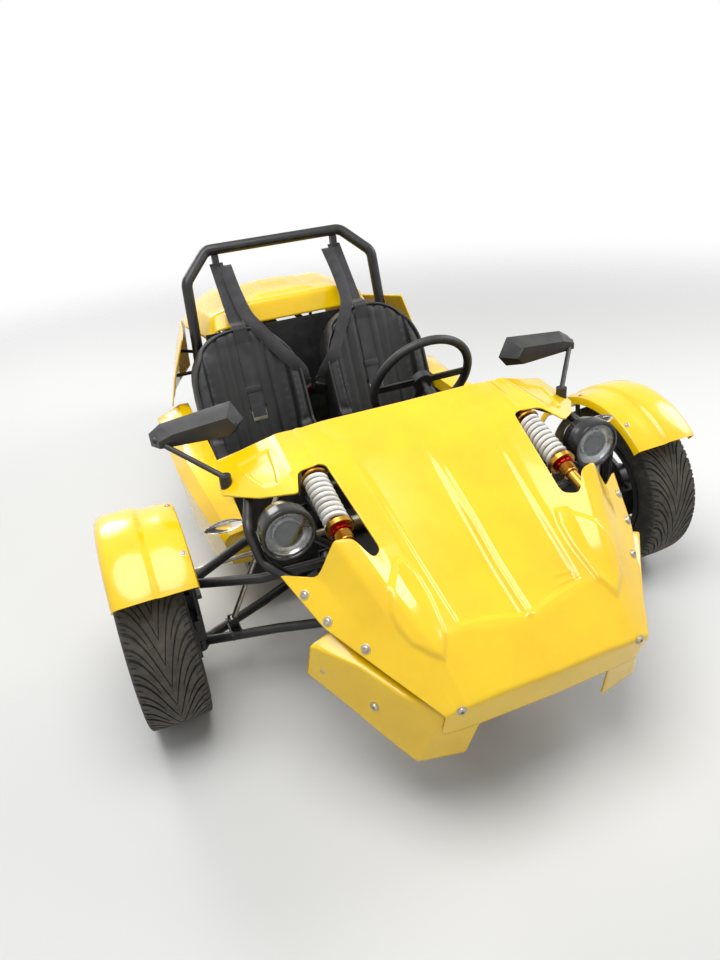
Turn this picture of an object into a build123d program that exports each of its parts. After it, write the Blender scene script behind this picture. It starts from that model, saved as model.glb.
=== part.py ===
from build123d import *
import math
import os

# Three-wheeled roadster: two steered wheels in front, one driven wheel behind.
# +X forward, +Y to the car's left, +Z up, ground at z = 0, all lengths in millimetres.

# Overall layout
WHEELBASE = 1690
TRACK = 1476
NOSE_OVERHANG = 701
FRONT_TYRE_R = 256
FRONT_TYRE_W = 165
FRONT_RIM_R = 165
REAR_TYRE_R = 293
REAR_TYRE_W = 205
REAR_RIM_R = 190
FRONT_X = (WHEELBASE + REAR_TYRE_R - NOSE_OVERHANG) / 2
REAR_X = FRONT_X - WHEELBASE
WHEEL_Y = TRACK / 2

# Walls and clearances
GRP = 5
SHEET = 3
BORE_GAP = 0.05
SEAT_GAP = 0.3

# Frame tubes
MAIN_TUBE_R = 19
CROSS_TUBE_R = 17
LIGHT_TUBE_R = 12.5
RAIL_Z = 131
FLOOR_Z = RAIL_Z + MAIN_TUBE_R
RAIL_Y = 200
TUB_HALF = 440
SILL_Y = TUB_HALF - 40
TUB_TOP = 430
TUB_FRONT = FRONT_X - 240
FOOTBOX_FRONT = FRONT_X + 190
FOOTBOX_TOP = 285
BULKHEAD_X = REAR_X + 770

# Front suspension
KINGPIN_Y = 640
LOWER_BALL_Z = 160
UPPER_BALL_Z = 352
LOWER_PIVOT_Y = 240
LOWER_PIVOT_Z = 190
UPPER_PIVOT_Y = 285
UPPER_PIVOT_Z = 378
ARM_TUBE_R = 13
BUSH_R = 16
BUSH_L = 48
BOSS_R = 20
BOSS_H = 28
KING_PIN_R = 9
PIVOT_BOLT_R = 6

# Steering
STEER_ARM_L = 110
STEER_ARM_Z = 302
STEER_ARM_T = 12
RACK_X = FRONT_X - STEER_ARM_L
RACK_R = 11
ROD_EYE_H = 16
ROD_EYE_R = 16
ROD_Z = STEER_ARM_Z + STEER_ARM_T / 2 + SEAT_GAP + ROD_EYE_H / 2
RACK_HALF = 190
ROD_R = 7
STEERING_WHEEL_R = 165
STEERING_RIM_R = 14
STEERING_TILT = 25
STEERING_X = FRONT_X - 360
STEERING_Y = 235
STEERING_Z = 600

PARTS = {}


def both(shape):
    """A left-hand piece and its right-hand mirror image as one compound."""
    return Compound([*shape.solids(), *mirror(shape, Plane.XZ).solids()])


def right(shape):
    return mirror(shape, Plane.XZ)


def bar(start, end, radius):
    """Straight round bar between two points."""
    run = Vector(*end) - Vector(*start)
    base = (Align.CENTER, Align.CENTER, Align.MIN)
    return Plane(origin=start, z_dir=run) * Cylinder(radius, run.length, align=base)


def tube(points, radius, bend=0):
    """Round tube along a bent line of points."""
    if len(points) == 2:
        return bar(points[0], points[1], radius)
    path = FilletPolyline(*points, radius=bend) if bend else Polyline(*points)
    section = Plane(origin=path @ 0, z_dir=path % 0) * Circle(radius)
    return sweep(section, path)


def block(low, high):
    """Box between two opposite corners."""
    size = [b - a for a, b in zip(low, high)]
    middle = [(a + b) / 2 for a, b in zip(low, high)]
    return Pos(*middle) * Box(*size)


def normals_of(grid):
    """Unit normal at each point of a grid, from its neighbours."""
    rows, columns = len(grid), len(grid[0])
    result = []
    for i in range(rows):
        line = []
        for j in range(columns):
            along = grid[min(i + 1, rows - 1)][j] - grid[max(i - 1, 0)][j]
            across = grid[i][min(j + 1, columns - 1)] - grid[i][max(j - 1, 0)]
            line.append(along.cross(across).normalized())
        result.append(line)
    return result


def panel(rows, thickness, mirrored=False):
    """Moulded skin through rows of points. A positive thickness lies below a skin whose
    rows run forward and whose columns run to the left, a negative one above it."""
    if mirrored:
        rows = [[(x, -y, z) for x, y, z in reversed(row[1:])] + list(row) for row in rows]
    outer = [[Vector(*point) for point in row] for row in rows]
    normals = normals_of(outer)
    inner = [[p - n * thickness for p, n in zip(a, b)] for a, b in zip(outer, normals)]
    faces = []

    def quad(a, b, c, d, flipped=False):
        halves = ((a, b, d), (b, c, d)) if flipped else ((a, b, c), (a, c, d))
        for corners in halves:
            faces.append(Face(Wire.make_polygon(corners, close=True)))

    last, end = len(rows) - 1, len(rows[0]) - 1
    for i in range(last):
        for j in range(end):
            for side in (outer, inner):
                flipped = mirrored and 2 * j < end
                quad(side[i][j], side[i + 1][j], side[i + 1][j + 1], side[i][j + 1], flipped)
        for j in (0, end):
            quad(outer[i][j], outer[i + 1][j], inner[i + 1][j], inner[i][j])
    for i in (0, last):
        for j in range(end):
            quad(outer[i][j], outer[i][j + 1], inner[i][j + 1], inner[i][j])
    return Solid(Shell(faces))


def seated(post, skin, above=False):
    """The part of a post below (or above) a skin, cut to its surface."""
    pieces = sorted((post - skin).solids(), key=lambda piece: piece.center().Z)
    return pieces[-1] if above else pieces[0]


# Hood: columns are centre, ridge, slot line, crest, shoulder, drop and edge
# Each point is (ahead of the front axle, y, z)
HOOD_ROWS = [
    [(-8, 0, 704), (-20, 217, 700), (-34, 280, 689), (-51, 329, 683), (-60, 380, 668), (-70, 430, 652), (-84, 488, 635)],
    [(60, 0, 680), (50, 211, 669), (45, 283, 675), (40, 335, 672), (38, 385, 655), (38, 440, 635), (39, 511, 601)],
    [(131, 0, 650), (131, 205, 640), (124, 282, 658), (134, 345, 660), (138, 380, 648), (140, 415, 632), (142, 470, 600)],
    [(211, 0, 615), (211, 199, 604), (211, 267, 620), (211, 361, 646), (211, 385, 635), (211, 420, 615), (211, 470, 585)],
    [(360, 0, 541), (360, 188, 536), (373, 240, 548), (364, 296, 591), (357, 337, 595), (356, 382, 511), (298, 454, 506)],
    [(470, 0, 482), (465, 181, 488), (465, 225, 492), (470, 262, 510), (460, 300, 505), (450, 350, 462), (430, 405, 435)],
    [(609, 0, 424), (573, 175, 438), (585, 195, 430), (624, 214, 398), (605, 250, 396), (585, 285, 390), (560, 325, 382)],
    [(NOSE_OVERHANG, 0, 359), (695, 120, 356), (692, 170, 350), (688, 205, 345), (684, 228, 340), (682, 240, 336), (680, 249, 332)],
    [(680, 0, 274), (676, 120, 272), (673, 170, 270), (670, 205, 268), (666, 228, 266), (662, 240, 264), (655, 249, 262)],
]
# Opening for spring and headlamp, seen from above: (ahead of the front axle, y)
LAMP_NOTCH = [(120, 264), (373, 236), (403, 267), (364, 296), (357, 337), (356, 382), (298, 454),
              (298, 600), (45, 600), (39, 511), (140, 436), (211, 361), (134, 337)]


def at_front(rows):
    return [[(FRONT_X + x, y, z) for x, y, z in row] for row in rows]


def at_rear(rows):
    return [[(REAR_X + x, y, z) for x, y, z in row] for row in rows]


def make_hood():
    skin = panel(at_front(HOOD_ROWS), GRP, mirrored=True)
    outline = Polyline(*[(FRONT_X + x, y) for x, y in LAMP_NOTCH], close=True)
    notch = Pos(0, 0, 380) * extrude(make_face(outline), 400)
    return skin - notch - right(notch)


# Bumper below the hood: columns are tucked top, outer top and lower edge
BUMPER_ROWS = [
    [(425, 386, 418), (425, 440, 396), (405, 452, 306)],
    [(508, 338, 384), (513, 368, 382), (490, 395, 262)],
    [(600, 281, 346), (605, 303, 341), (560, 340, 205)],
    [(656, 230, 322), (660, 240, 306), (612, 290, 153)],
    [(670, 185, 320), (668, 185, 300), (628, 182, 142)],
    [(672, 165, 320), (669, 165, 295), (662, 165, 258)],
    [(674, 0, 322), (671, 0, 297), (664, 0, 258)],
]


def make_bumper():
    rows = at_front(BUMPER_ROWS)
    around = [[(x, -y, z) for x, y, z in row] for row in rows[:-1]] + list(reversed(rows))
    return panel(around, -GRP)


TYRE_TOP = 2 * REAR_TYRE_R
# Rear deck behind the seats: columns are centre, inner, hump, edge and lower edge
# Each point is (ahead of the rear axle, y, z)
DECK_ROWS = [
    [(751, 0, 726), (751, 100, 726), (751, 196, 726), (745, 285, 722), (735, 322, 690)],
    [(728, 0, 800), (728, 100, 800), (728, 188, 800), (705, 290, 768), (690, 326, 694)],
    [(480, 0, 806), (480, 100, 806), (480, 195, 806), (480, 309, 757), (480, 362, 690)],
    [(317, 0, 767), (317, 101, 768), (300, 210, 775), (300, 290, 735), (300, 345, 670)],
    [(180, 0, TYRE_TOP + 134), (180, 100, TYRE_TOP + 139), (180, 200, TYRE_TOP + 152), (180, 270, TYRE_TOP + 119),
     (180, 320, TYRE_TOP + 64)],
    [(-60, 0, TYRE_TOP + 64), (-60, 80, TYRE_TOP + 69), (-60, 160, TYRE_TOP + 69), (-60, 210, TYRE_TOP + 49),
     (-60, 240, TYRE_TOP + 14)],
    [(-90, 0, TYRE_TOP + 4), (-90, 80, TYRE_TOP + 6), (-88, 150, TYRE_TOP + 4), (-85, 195, TYRE_TOP - 1),
     (-75, 225, TYRE_TOP - 16)],
]
# Body sides behind the seats: columns are top, waist and bottom
SIDE_ROWS = [
    [(810, 420, 740), (800, 470, 610), (780, 500, 495)],
    [(480, 372, 688), (480, 430, 580), (480, 460, 440)],
    [(300, 354, 668), (300, 390, 570), (320, 410, 430)],
    [(150, 322, 640), (150, 330, 560), (180, 340, 440)],
]
# Side pods: (x, [(y outside the tub, z) of inner top, upper, outer, low outer, low inner])
POD_SECTIONS = [
    (REAR_X + 760, [(0, 488), (30, 490), (120, 454), (95, 250), (0, 210)]),
    (FRONT_X - 528, [(0, 470), (90, 459), (120, 409), (100, 225), (0, 200)]),
    (FRONT_X - 232, [(0, 410), (60, 405), (90, 380), (78, 230), (0, 215)]),
    (FRONT_X - 135, [(0, 382), (50, 376), (68, 358), (55, 280), (0, 270)]),
]


def make_pod():
    sections = []
    for x, corners in POD_SECTIONS:
        wire = Wire.make_polygon([Vector(x, TUB_HALF + y, z) for y, z in corners], close=True)
        sections.append(Face(wire))
    return loft(sections, ruled=True)


def make_tub():
    """Open tub for the two seats, with a low footbox ahead between the lower rails."""
    half_foot = RAIL_Y - MAIN_TUBE_R - 1
    length = TUB_FRONT - BULKHEAD_X
    outer = block((BULKHEAD_X, -TUB_HALF, FLOOR_Z), (TUB_FRONT, TUB_HALF, TUB_TOP))
    inner = block((BULKHEAD_X + GRP, -TUB_HALF + GRP, FLOOR_Z + GRP),
                  (TUB_FRONT - GRP, TUB_HALF - GRP, TUB_TOP + 1))
    foot_outer = block((TUB_FRONT - GRP, -half_foot, FLOOR_Z), (FOOTBOX_FRONT, half_foot, FOOTBOX_TOP))
    foot_inner = block((TUB_FRONT - 2 * GRP, -half_foot + GRP, FLOOR_Z + GRP),
                       (FOOTBOX_FRONT - GRP, half_foot - GRP, FOOTBOX_TOP - GRP))
    return outer - inner + foot_outer - foot_inner


# Bucket seat in side view: (ahead of the bulkhead, z)
LEGROOM = 160
CUSHION_END = TUB_FRONT - LEGROOM - BULKHEAD_X
SEAT_TOP = 755
SEAT_SIDE = [(135, FLOOR_Z + GRP), (52, SEAT_TOP - 20), (90, SEAT_TOP), (120, SEAT_TOP - 12), (260, 430),
             (CUSHION_END - 50, 365), (CUSHION_END, 335), (CUSHION_END, FLOOR_Z + GRP)]
SEAT_HOLLOW = [(CUSHION_END + 10, 305), (260, 262), (107, 700), (90, 800), (CUSHION_END + 10, 800)]
SEAT_MIDDLE_Y = 46
SEAT_TUB_GAP = 5
SEAT_BOLSTER = 50
SEAT_WIDTH = TUB_HALF - GRP - SEAT_TUB_GAP - SEAT_MIDDLE_Y
SEAT_Y = SEAT_MIDDLE_Y + SEAT_WIDTH / 2
SEAT_INNER = SEAT_WIDTH - 2 * SEAT_BOLSTER
SEAT_TOP_R = SEAT_WIDTH / 2 - 12


def make_seat(side):
    y = side * SEAT_Y

    def slab(outline, width):
        points = [(BULKHEAD_X + x, z) for x, z in outline]
        sketch = Plane.XZ * make_face(Polyline(*points, close=True))
        return Pos(0, y, 0) * extrude(sketch, width / 2, both=True)

    front_view = RectangleRounded(SEAT_WIDTH, 2 * SEAT_TOP, SEAT_TOP_R)
    prism = Pos(BULKHEAD_X, y, 0) * extrude(Plane.YZ * front_view, CUSHION_END + 20)
    return (slab(SEAT_SIDE, SEAT_WIDTH) - slab(SEAT_HOLLOW, SEAT_INNER)) & prism



def ring(outer_r, inner_r, length):
    """Sleeve along Z, centred on its length."""
    return Cylinder(outer_r, length) - Cylinder(inner_r, length + 2)


def along_x(shape):
    return Rot(0, 90, 0) * shape


def along_y(shape):
    return Rot(90, 0, 0) * shape


# Pivots of the wishbones on the frame: (ahead of the front axle, y, z)
LOWER_PIVOTS = [(150, LOWER_PIVOT_Y, LOWER_PIVOT_Z), (-150, LOWER_PIVOT_Y, LOWER_PIVOT_Z)]
UPPER_PIVOTS = [(120, UPPER_PIVOT_Y, UPPER_PIVOT_Z), (-130, UPPER_PIVOT_Y, UPPER_PIVOT_Z)]
EAR_T = 5

# Inboard springs: rear eye on the rocker, front eye on the frame
SHOCK_REAR = (FRONT_X + 105, 298, 637)
SHOCK_FRONT = (FRONT_X + 395, 298, 533)
SHOCK_EYE_R = 13
SHOCK_EYE_T = 20
COIL_R = 31
COIL_WIRE_R = 6
COIL_TURNS = 9
SHOCK_PIN_R = 6
ROCKER_X = FRONT_X + 60
ROCKER_Z = 572
ROCKER_Y = 320
ROCKER_T = 8
PUSHROD_R = 7
PUSHROD_TOP = (FRONT_X + 15, 336, 606)
PUSHROD_FOOT = (FRONT_X, 545, 196)


SCUTTLE_X = FRONT_X - 50
SCUTTLE_Z = 600
SCUTTLE_HALF = 390
NOSE_X = FRONT_X + 600
NOSE_Y = 165
NOSE_Z = 215
FORE_X = FRONT_X + 260
AFT_X = FRONT_X - 175
TOP_RAIL_Y = 245
TOP_RAIL_Z = 420
SWING_CROSS_X = REAR_X + REAR_TYRE_R + 52
TAIL_X = SWING_CROSS_X + 95
DECK_TUBE_X = REAR_X + 60
DECK_TUBE_HALF = 150
DECK_TUBE_Z = TYRE_TOP + 29
TAIL_Y = 175
TAIL_TOP = 560
HOOP_X = BULKHEAD_X - 40
HOOP_TOP_X = HOOP_X - 82
HOOP_TOP_Z = 985
HOOP_WAIST_Y = 362
HOOP_WAIST_Z = 690
HOOP_SHOULDER_Y = 351
HOOP_SHOULDER_Z = 899
HOOP_BELT_REACH = 29
LAMP_HOOP_BEND = 38
NOSE_LAP = 90
LEAST_RUN = 0.08
NOSE_BEND = 60
LAMP_HOOP = [(SCUTTLE_X, SCUTTLE_HALF, SCUTTLE_Z), (FRONT_X + 90, 456, 594), (FRONT_X + 165, 482, 565),
             (FRONT_X + 208, 470, 490), (FRONT_X + 300, 395, 452), (FRONT_X + 345, 226, 368)]
FOOT_T = 4
ENGINE_REAR = TAIL_X + 35
ENGINE_FRONT = BULKHEAD_X - 70
ENGINE_TUBE_R = 16
ENGINE_TUBE_Z = RAIL_Z + MAIN_TUBE_R - ENGINE_TUBE_R


def main_tubes():
    """Tubes of the left half that the others meet: (radius, bend, points)."""
    return [
        (MAIN_TUBE_R, 0, [(FORE_X - NOSE_LAP, RAIL_Y, RAIL_Z), (TAIL_X, RAIL_Y, RAIL_Z)]),
        (MAIN_TUBE_R, NOSE_BEND, [(NOSE_X, NOSE_Y, NOSE_Z), (FORE_X, RAIL_Y, RAIL_Z),
                                  (FORE_X - NOSE_LAP + SEAT_GAP, RAIL_Y, RAIL_Z)]),
        (MAIN_TUBE_R, 0, [(TUB_FRONT - 25, SILL_Y, RAIL_Z), (HOOP_X, SILL_Y, RAIL_Z)]),
        (LIGHT_TUBE_R, 0, [(FORE_X, RAIL_Y, RAIL_Z), (FORE_X, TOP_RAIL_Y, TOP_RAIL_Z)]),
        (LIGHT_TUBE_R, 0, [(AFT_X, RAIL_Y, RAIL_Z), (AFT_X, TOP_RAIL_Y, TOP_RAIL_Z)]),
        (CROSS_TUBE_R, 0, [(TAIL_X, RAIL_Y, RAIL_Z), (TAIL_X, TAIL_Y, TAIL_TOP)]),
    ]


def cross_tubes():
    """Tubes straight across the car: (x, half width, z, radius)."""
    return [
        (TUB_FRONT - 25, SILL_Y, RAIL_Z, CROSS_TUBE_R),
        (HOOP_X, SILL_Y, RAIL_Z, CROSS_TUBE_R),
        (FORE_X, RAIL_Y, RAIL_Z, LIGHT_TUBE_R),
        (FORE_X, TOP_RAIL_Y, TOP_RAIL_Z, LIGHT_TUBE_R),
        (AFT_X, TOP_RAIL_Y, TOP_RAIL_Z, LIGHT_TUBE_R),
        (NOSE_X, NOSE_Y, NOSE_Z, CROSS_TUBE_R),
        (SCUTTLE_X, SCUTTLE_HALF, SCUTTLE_Z, LIGHT_TUBE_R),
        (TAIL_X + 30, RAIL_Y, RAIL_Z, CROSS_TUBE_R),
        (TAIL_X, TAIL_Y, TAIL_TOP, LIGHT_TUBE_R),
        (DECK_TUBE_X, DECK_TUBE_HALF, DECK_TUBE_Z, LIGHT_TUBE_R),
        (ENGINE_REAR + 55, RAIL_Y, ENGINE_TUBE_Z, ENGINE_TUBE_R),
        (ENGINE_FRONT - 45, RAIL_Y, ENGINE_TUBE_Z, ENGINE_TUBE_R),
        (TAIL_X, 185, SWING_Z, SWING_PIN_R),
    ]


def brace_tubes():
    """Light tubes of the left half: (radius, bend, points, pieces welded on)."""
    return [
        (LIGHT_TUBE_R, 0, [(AFT_X, TOP_RAIL_Y, TOP_RAIL_Z), (FORE_X, TOP_RAIL_Y, TOP_RAIL_Z)], []),
        (LIGHT_TUBE_R, 0, [(FORE_X, TOP_RAIL_Y, TOP_RAIL_Z), (NOSE_X, NOSE_Y, NOSE_Z)], []),
        (LIGHT_TUBE_R, 0, [(AFT_X, TOP_RAIL_Y, TOP_RAIL_Z), (SCUTTLE_X, SCUTTLE_HALF, SCUTTLE_Z)], []),
        (LIGHT_TUBE_R, 0, [(FORE_X, TOP_RAIL_Y, TOP_RAIL_Z), (SHOCK_FRONT[0] - 60, 262, 500)], spring_bracket()),
        (LIGHT_TUBE_R, 0, [(ROCKER_X, TOP_RAIL_Y, TOP_RAIL_Z), (ROCKER_X, 262, ROCKER_Z)], rocker_bearing()),
        (LIGHT_TUBE_R, 0, [(TAIL_X, TAIL_Y, TAIL_TOP), (DECK_TUBE_X, DECK_TUBE_HALF, DECK_TUBE_Z)], []),
        (LIGHT_TUBE_R, 0, [(TAIL_X, TAIL_Y, TAIL_TOP), (HOOP_X, 330, RAIL_Z)], []),
    ]


def spring_bracket():
    """Ears, base and pin for the front end of a spring."""
    x, middle, z = SHOCK_FRONT
    pieces = []
    for side in (1, -1):
        inner = middle + side * (SHOCK_EYE_T / 2 + SEAT_GAP)
        outer = inner + side * EAR_T
        pieces.append(block((x - 14, min(inner, outer), z - 40), (x + 11, max(inner, outer), z + 10)))
    pieces.append(block((x - 75, 256, z - 46), (x + 14, middle + 16, z - 38)))
    pieces.append(bar((x, middle - 16, z), (x, middle + 16, z), SHOCK_PIN_R))
    return pieces


def rocker_bearing():
    """Boss and pin that a rocker turns on."""
    return [bar((ROCKER_X, 262, ROCKER_Z), (ROCKER_X, ROCKER_Y - ROCKER_T / 2, ROCKER_Z), 13),
            bar((ROCKER_X, 262, ROCKER_Z), (ROCKER_X, ROCKER_Y + ROCKER_T / 2 + 6, ROCKER_Z), SHOCK_PIN_R)]


def pivot_brackets(pivots, post_y, post_low, post_high):
    """Two ears, the bolt between them and the post they stand on, for each bush of a left wishbone."""
    brackets = []
    for ahead, y, z in pivots:
        x = FRONT_X + ahead
        reach = BUSH_L / 2 + EAR_T
        pieces = [block((x - reach, post_y - 6, post_low), (x + reach, post_y + 6, post_high)),
                  Pos(x, y, z) * along_x(Cylinder(PIVOT_BOLT_R, 2 * reach + 8))]
        for side in (1, -1):
            middle = x + side * (BUSH_L + EAR_T) / 2
            pieces.append(block((middle - EAR_T / 2, RAIL_Y, z - 18), (middle + EAR_T / 2, y + 18, z + 18)))
        brackets.append(joined(None, pieces))
    return brackets


def joined(body, pieces):
    """Welds pieces to a body one after the other."""
    for piece in pieces:
        body = body.fuse(piece) if body else piece
    return body


def coped(piece, tubes):
    """The runs of a piece between the tubes that it is welded to, without the chips behind them."""
    whole = piece.volume
    box = piece.bounding_box()
    for cutter in tubes:
        other = cutter.bounding_box()
        apart = (box.min.X > other.max.X or other.min.X > box.max.X or box.min.Y > other.max.Y
                 or other.min.Y > box.max.Y or box.min.Z > other.max.Z or other.min.Z > box.max.Z)
        if not apart:
            piece = piece - cutter
    return [part for part in piece.solids() if part.volume > whole * LEAST_RUN]


def stay(start, end, radius, skin):
    """Round stay from its start to where it meets a skin."""
    post = bar(start, end, radius)
    origin = Vector(*start)
    return min((post - skin).solids(), key=lambda piece: (piece.center() - origin).length)


def rack_clamp():
    """Clamp that holds the rack housing below the rear cross tube."""
    clamp = block((AFT_X, 140, ROD_Z - 28), (RACK_X + 32, 165, ROD_Z + 28))
    clamp = clamp.fuse(block((AFT_X - 8, 140, ROD_Z - 28), (AFT_X + 8, 165, TOP_RAIL_Z)))
    return clamp - bar((RACK_X, 100, ROD_Z), (RACK_X, 200, ROD_Z), RACK_HOUSING_R)


def make_frame(hood, bumper, deck, sides):
    """Frame of round tubes, each coped to those it meets, with its brackets, and the lamp hoops apart."""
    laid = []
    solids = []

    def lay(radius, bend, points, pieces=(), mirrored=True):
        runs = coped(joined(tube(points, radius, bend), pieces), laid)
        solids.extend(runs)
        laid.append(tube(points, radius + SEAT_GAP, bend))
        if mirrored:
            solids.extend(mirror(run, Plane.XZ) for run in runs)
            laid.append(mirror(laid[-1], Plane.XZ))

    for radius, bend, points in main_tubes():
        lay(radius, bend, points)
    for x, reach, z, radius in cross_tubes():
        lay(radius, 0, [(x, -reach, z), (x, reach, z)], mirrored=False)
    for radius, bend, points, pieces in brace_tubes():
        lay(radius, bend, points, pieces)
    hoop = coped(tube(LAMP_HOOP, LIGHT_TUBE_R, LAMP_HOOP_BEND), laid)[0]
    brackets = [
        *pivot_brackets(LOWER_PIVOTS, RAIL_Y, RAIL_Z, LOWER_PIVOT_Z + 18),
        *pivot_brackets(UPPER_PIVOTS, TOP_RAIL_Y, UPPER_PIVOT_Z - 18, TOP_RAIL_Z),
        rack_clamp(),
        # Foot of the roll hoop on the sill rail
        block((HOOP_X - 32, SILL_Y - 32, RAIL_Z), (HOOP_X + 32, SILL_Y + 32, FLOOR_Z + FOOT_T)),
        # Stays to the body skins
        stay((SCUTTLE_X, 300, SCUTTLE_Z), (SCUTTLE_X + 130, 300, 740), STAY_R, hood),
        stay((NOSE_X, 110, NOSE_Z), (NOSE_X, 110, 480), STAY_R, hood),
        stay((NOSE_X, 60, NOSE_Z), (NOSE_X + 90, 60, NOSE_Z + 75), STAY_R, bumper),
        stay((TAIL_X, TAIL_Y - 10, TAIL_TOP), (TAIL_X, TAIL_Y - 10, 860), STAY_R, deck),
        stay((DECK_TUBE_X, 130, DECK_TUBE_Z), (DECK_TUBE_X, 130, DECK_TUBE_Z + 145), STAY_R, deck),
        stay((TAIL_X + 40, 195, 505), (TAIL_X + 40, 560, 505), STAY_R, sides),
        stay((TAIL_X, TAIL_Y + 5, 530), (REAR_X + 250, 470, 560), STAY_R, sides),
    ]
    for piece in brackets:
        for part in coped(piece, laid):
            solids += [part, mirror(part, Plane.XZ)]
    # Ears and pin of the rear spring, under the top cross tube
    ear = block((TAIL_X - 14, SHOCK_EYE_T / 2 + SEAT_GAP, REAR_SHOCK_TOP - 14),
                (TAIL_X + 14, SHOCK_EYE_T / 2 + SEAT_GAP + EAR_T, TAIL_TOP))
    pin = bar((TAIL_X, -18, REAR_SHOCK_TOP), (TAIL_X, 18, REAR_SHOCK_TOP), SHOCK_PIN_R)
    solids.extend(coped(pin.fuse(ear, mirror(ear, Plane.XZ)), laid))
    return Compound([part for piece in solids for part in piece.solids()]), both(hoop)


def make_hoop():
    """Roll hoop behind the seats, from the sill rails up and across."""
    half = [(HOOP_X, SILL_Y, FLOOR_Z - 4), (HOOP_X + 7, HOOP_WAIST_Y, HOOP_WAIST_Z),
            (HOOP_X - 22, HOOP_SHOULDER_Y, HOOP_SHOULDER_Z), (HOOP_TOP_X, BELT_Y + HOOP_BELT_REACH, HOOP_TOP_Z)]
    path = half + [(px, -py, pz) for px, py, pz in reversed(half)]
    hoop = tube(path, MAIN_TUBE_R, 45)
    foot = FLOOR_Z + FOOT_T
    return hoop - block((HOOP_X - 60, -SILL_Y - 60, foot - 20), (HOOP_X + 60, SILL_Y + 60, foot))


def make_wishbone(pivots, ball_z, bow):
    """A-arm with a bush on each leg and a boss for the king pin."""
    ball = (FRONT_X, KINGPIN_Y, ball_z)
    pieces = []
    for ahead, y, z in pivots:
        x = FRONT_X + ahead
        middle = (FRONT_X + ahead * bow, (y + KINGPIN_Y) / 2, (z + ball_z) / 2)
        pieces.append(tube([(x, y, z), middle, ball], ARM_TUBE_R, 60))
        pieces.append(Pos(x, y, z) * along_x(Cylinder(BUSH_R, BUSH_L)))
    arm = pieces[0].fuse(*pieces[1:], Pos(*ball) * Cylinder(BOSS_R, BOSS_H))
    arm = arm - Pos(*ball) * Cylinder(KING_PIN_R + BORE_GAP, BOSS_H + 12)
    for ahead, y, z in pivots:
        arm = arm - Pos(FRONT_X + ahead, y, z) * along_x(Cylinder(PIVOT_BOLT_R + BORE_GAP, BUSH_L + 2))
    # Nothing of the legs reaches past the boss
    return arm - Pos(FRONT_X, KINGPIN_Y + BOSS_R + 20, ball_z) * Box(80, 40, 80)


def make_lower_arm():
    """Lower wishbone with the fork that carries the foot of the pushrod."""
    arm = make_wishbone(LOWER_PIVOTS, LOWER_BALL_Z, 0.45)
    x, y, z = PUSHROD_FOOT
    bridge = block((x - 42, y - 16, 160), (x + 42, y + 16, 176))
    ears = [block((x - 14, y - 12, 170), (x - 9, y + 12, z + 11)), block((x + 9, y - 12, 170), (x + 14, y + 12, z + 11))]
    pin = bar((x - 16, y, z), (x + 16, y, z), 5)
    return arm.fuse(bridge, *ears, pin)


KNUCKLE_W = 44
KNUCKLE_D = 34
KNUCKLE_BOTTOM = LOWER_BALL_Z + BOSS_H / 2 + 4
KNUCKLE_TOP = UPPER_BALL_Z - BOSS_H / 2 - 4
STUB_R = 15
HUB_END_Y = WHEEL_Y + 60
DISC_R = 110
DISC_T = 5
DISC_Y = 678
CALIPER_GAP = 5


def make_knuckle():
    """Left upright: king pins, stub axle, steering arm and brake caliper."""
    upright = block((FRONT_X - KNUCKLE_W / 2, KINGPIN_Y - KNUCKLE_D / 2, KNUCKLE_BOTTOM),
                    (FRONT_X + KNUCKLE_W / 2, KINGPIN_Y + KNUCKLE_D / 2, KNUCKLE_TOP))
    pin_low = LOWER_BALL_Z - BOSS_H / 2 - 2
    pin_high = UPPER_BALL_Z + BOSS_H / 2 + 2
    pins = bar((FRONT_X, KINGPIN_Y, pin_low), (FRONT_X, KINGPIN_Y, pin_high), KING_PIN_R)
    nuts = [Pos(FRONT_X, KINGPIN_Y, z) * Cylinder(KING_PIN_R + 5, 8) for z in (pin_low - 4, pin_high + 4)]
    stub = bar((FRONT_X, KINGPIN_Y, FRONT_TYRE_R), (FRONT_X, HUB_END_Y, FRONT_TYRE_R), STUB_R)
    arm = block((RACK_X - 14, KINGPIN_Y - 30, STEER_ARM_Z - STEER_ARM_T / 2),
                (FRONT_X, KINGPIN_Y - 2, STEER_ARM_Z + STEER_ARM_T / 2))
    knuckle = upright.fuse(pins, *nuts, stub, arm)
    inner = DISC_Y - DISC_T / 2 - CALIPER_GAP
    outer = DISC_Y + DISC_T / 2 + CALIPER_GAP
    caliper = block((FRONT_X + 62, inner - 22, FRONT_TYRE_R - 45), (FRONT_X + 128, outer + 14, FRONT_TYRE_R + 45))
    slot = block((FRONT_X + 40, inner, FRONT_TYRE_R - 60), (FRONT_X + DISC_R + 6, outer, FRONT_TYRE_R + 60))
    carrier = block((FRONT_X + 15, KINGPIN_Y - 5, FRONT_TYRE_R - 25), (FRONT_X + 70, inner - 12, FRONT_TYRE_R + 25))
    return knuckle.fuse(caliper - slot, carrier)


FENDER_R = 300
FENDER_INNER_Y = 619
FENDER_W = 200
FENDER_T = 4
FENDER_FRONT_DEG = 43
FENDER_REAR_DEG = 60
FENDER_STEP = 9


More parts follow.
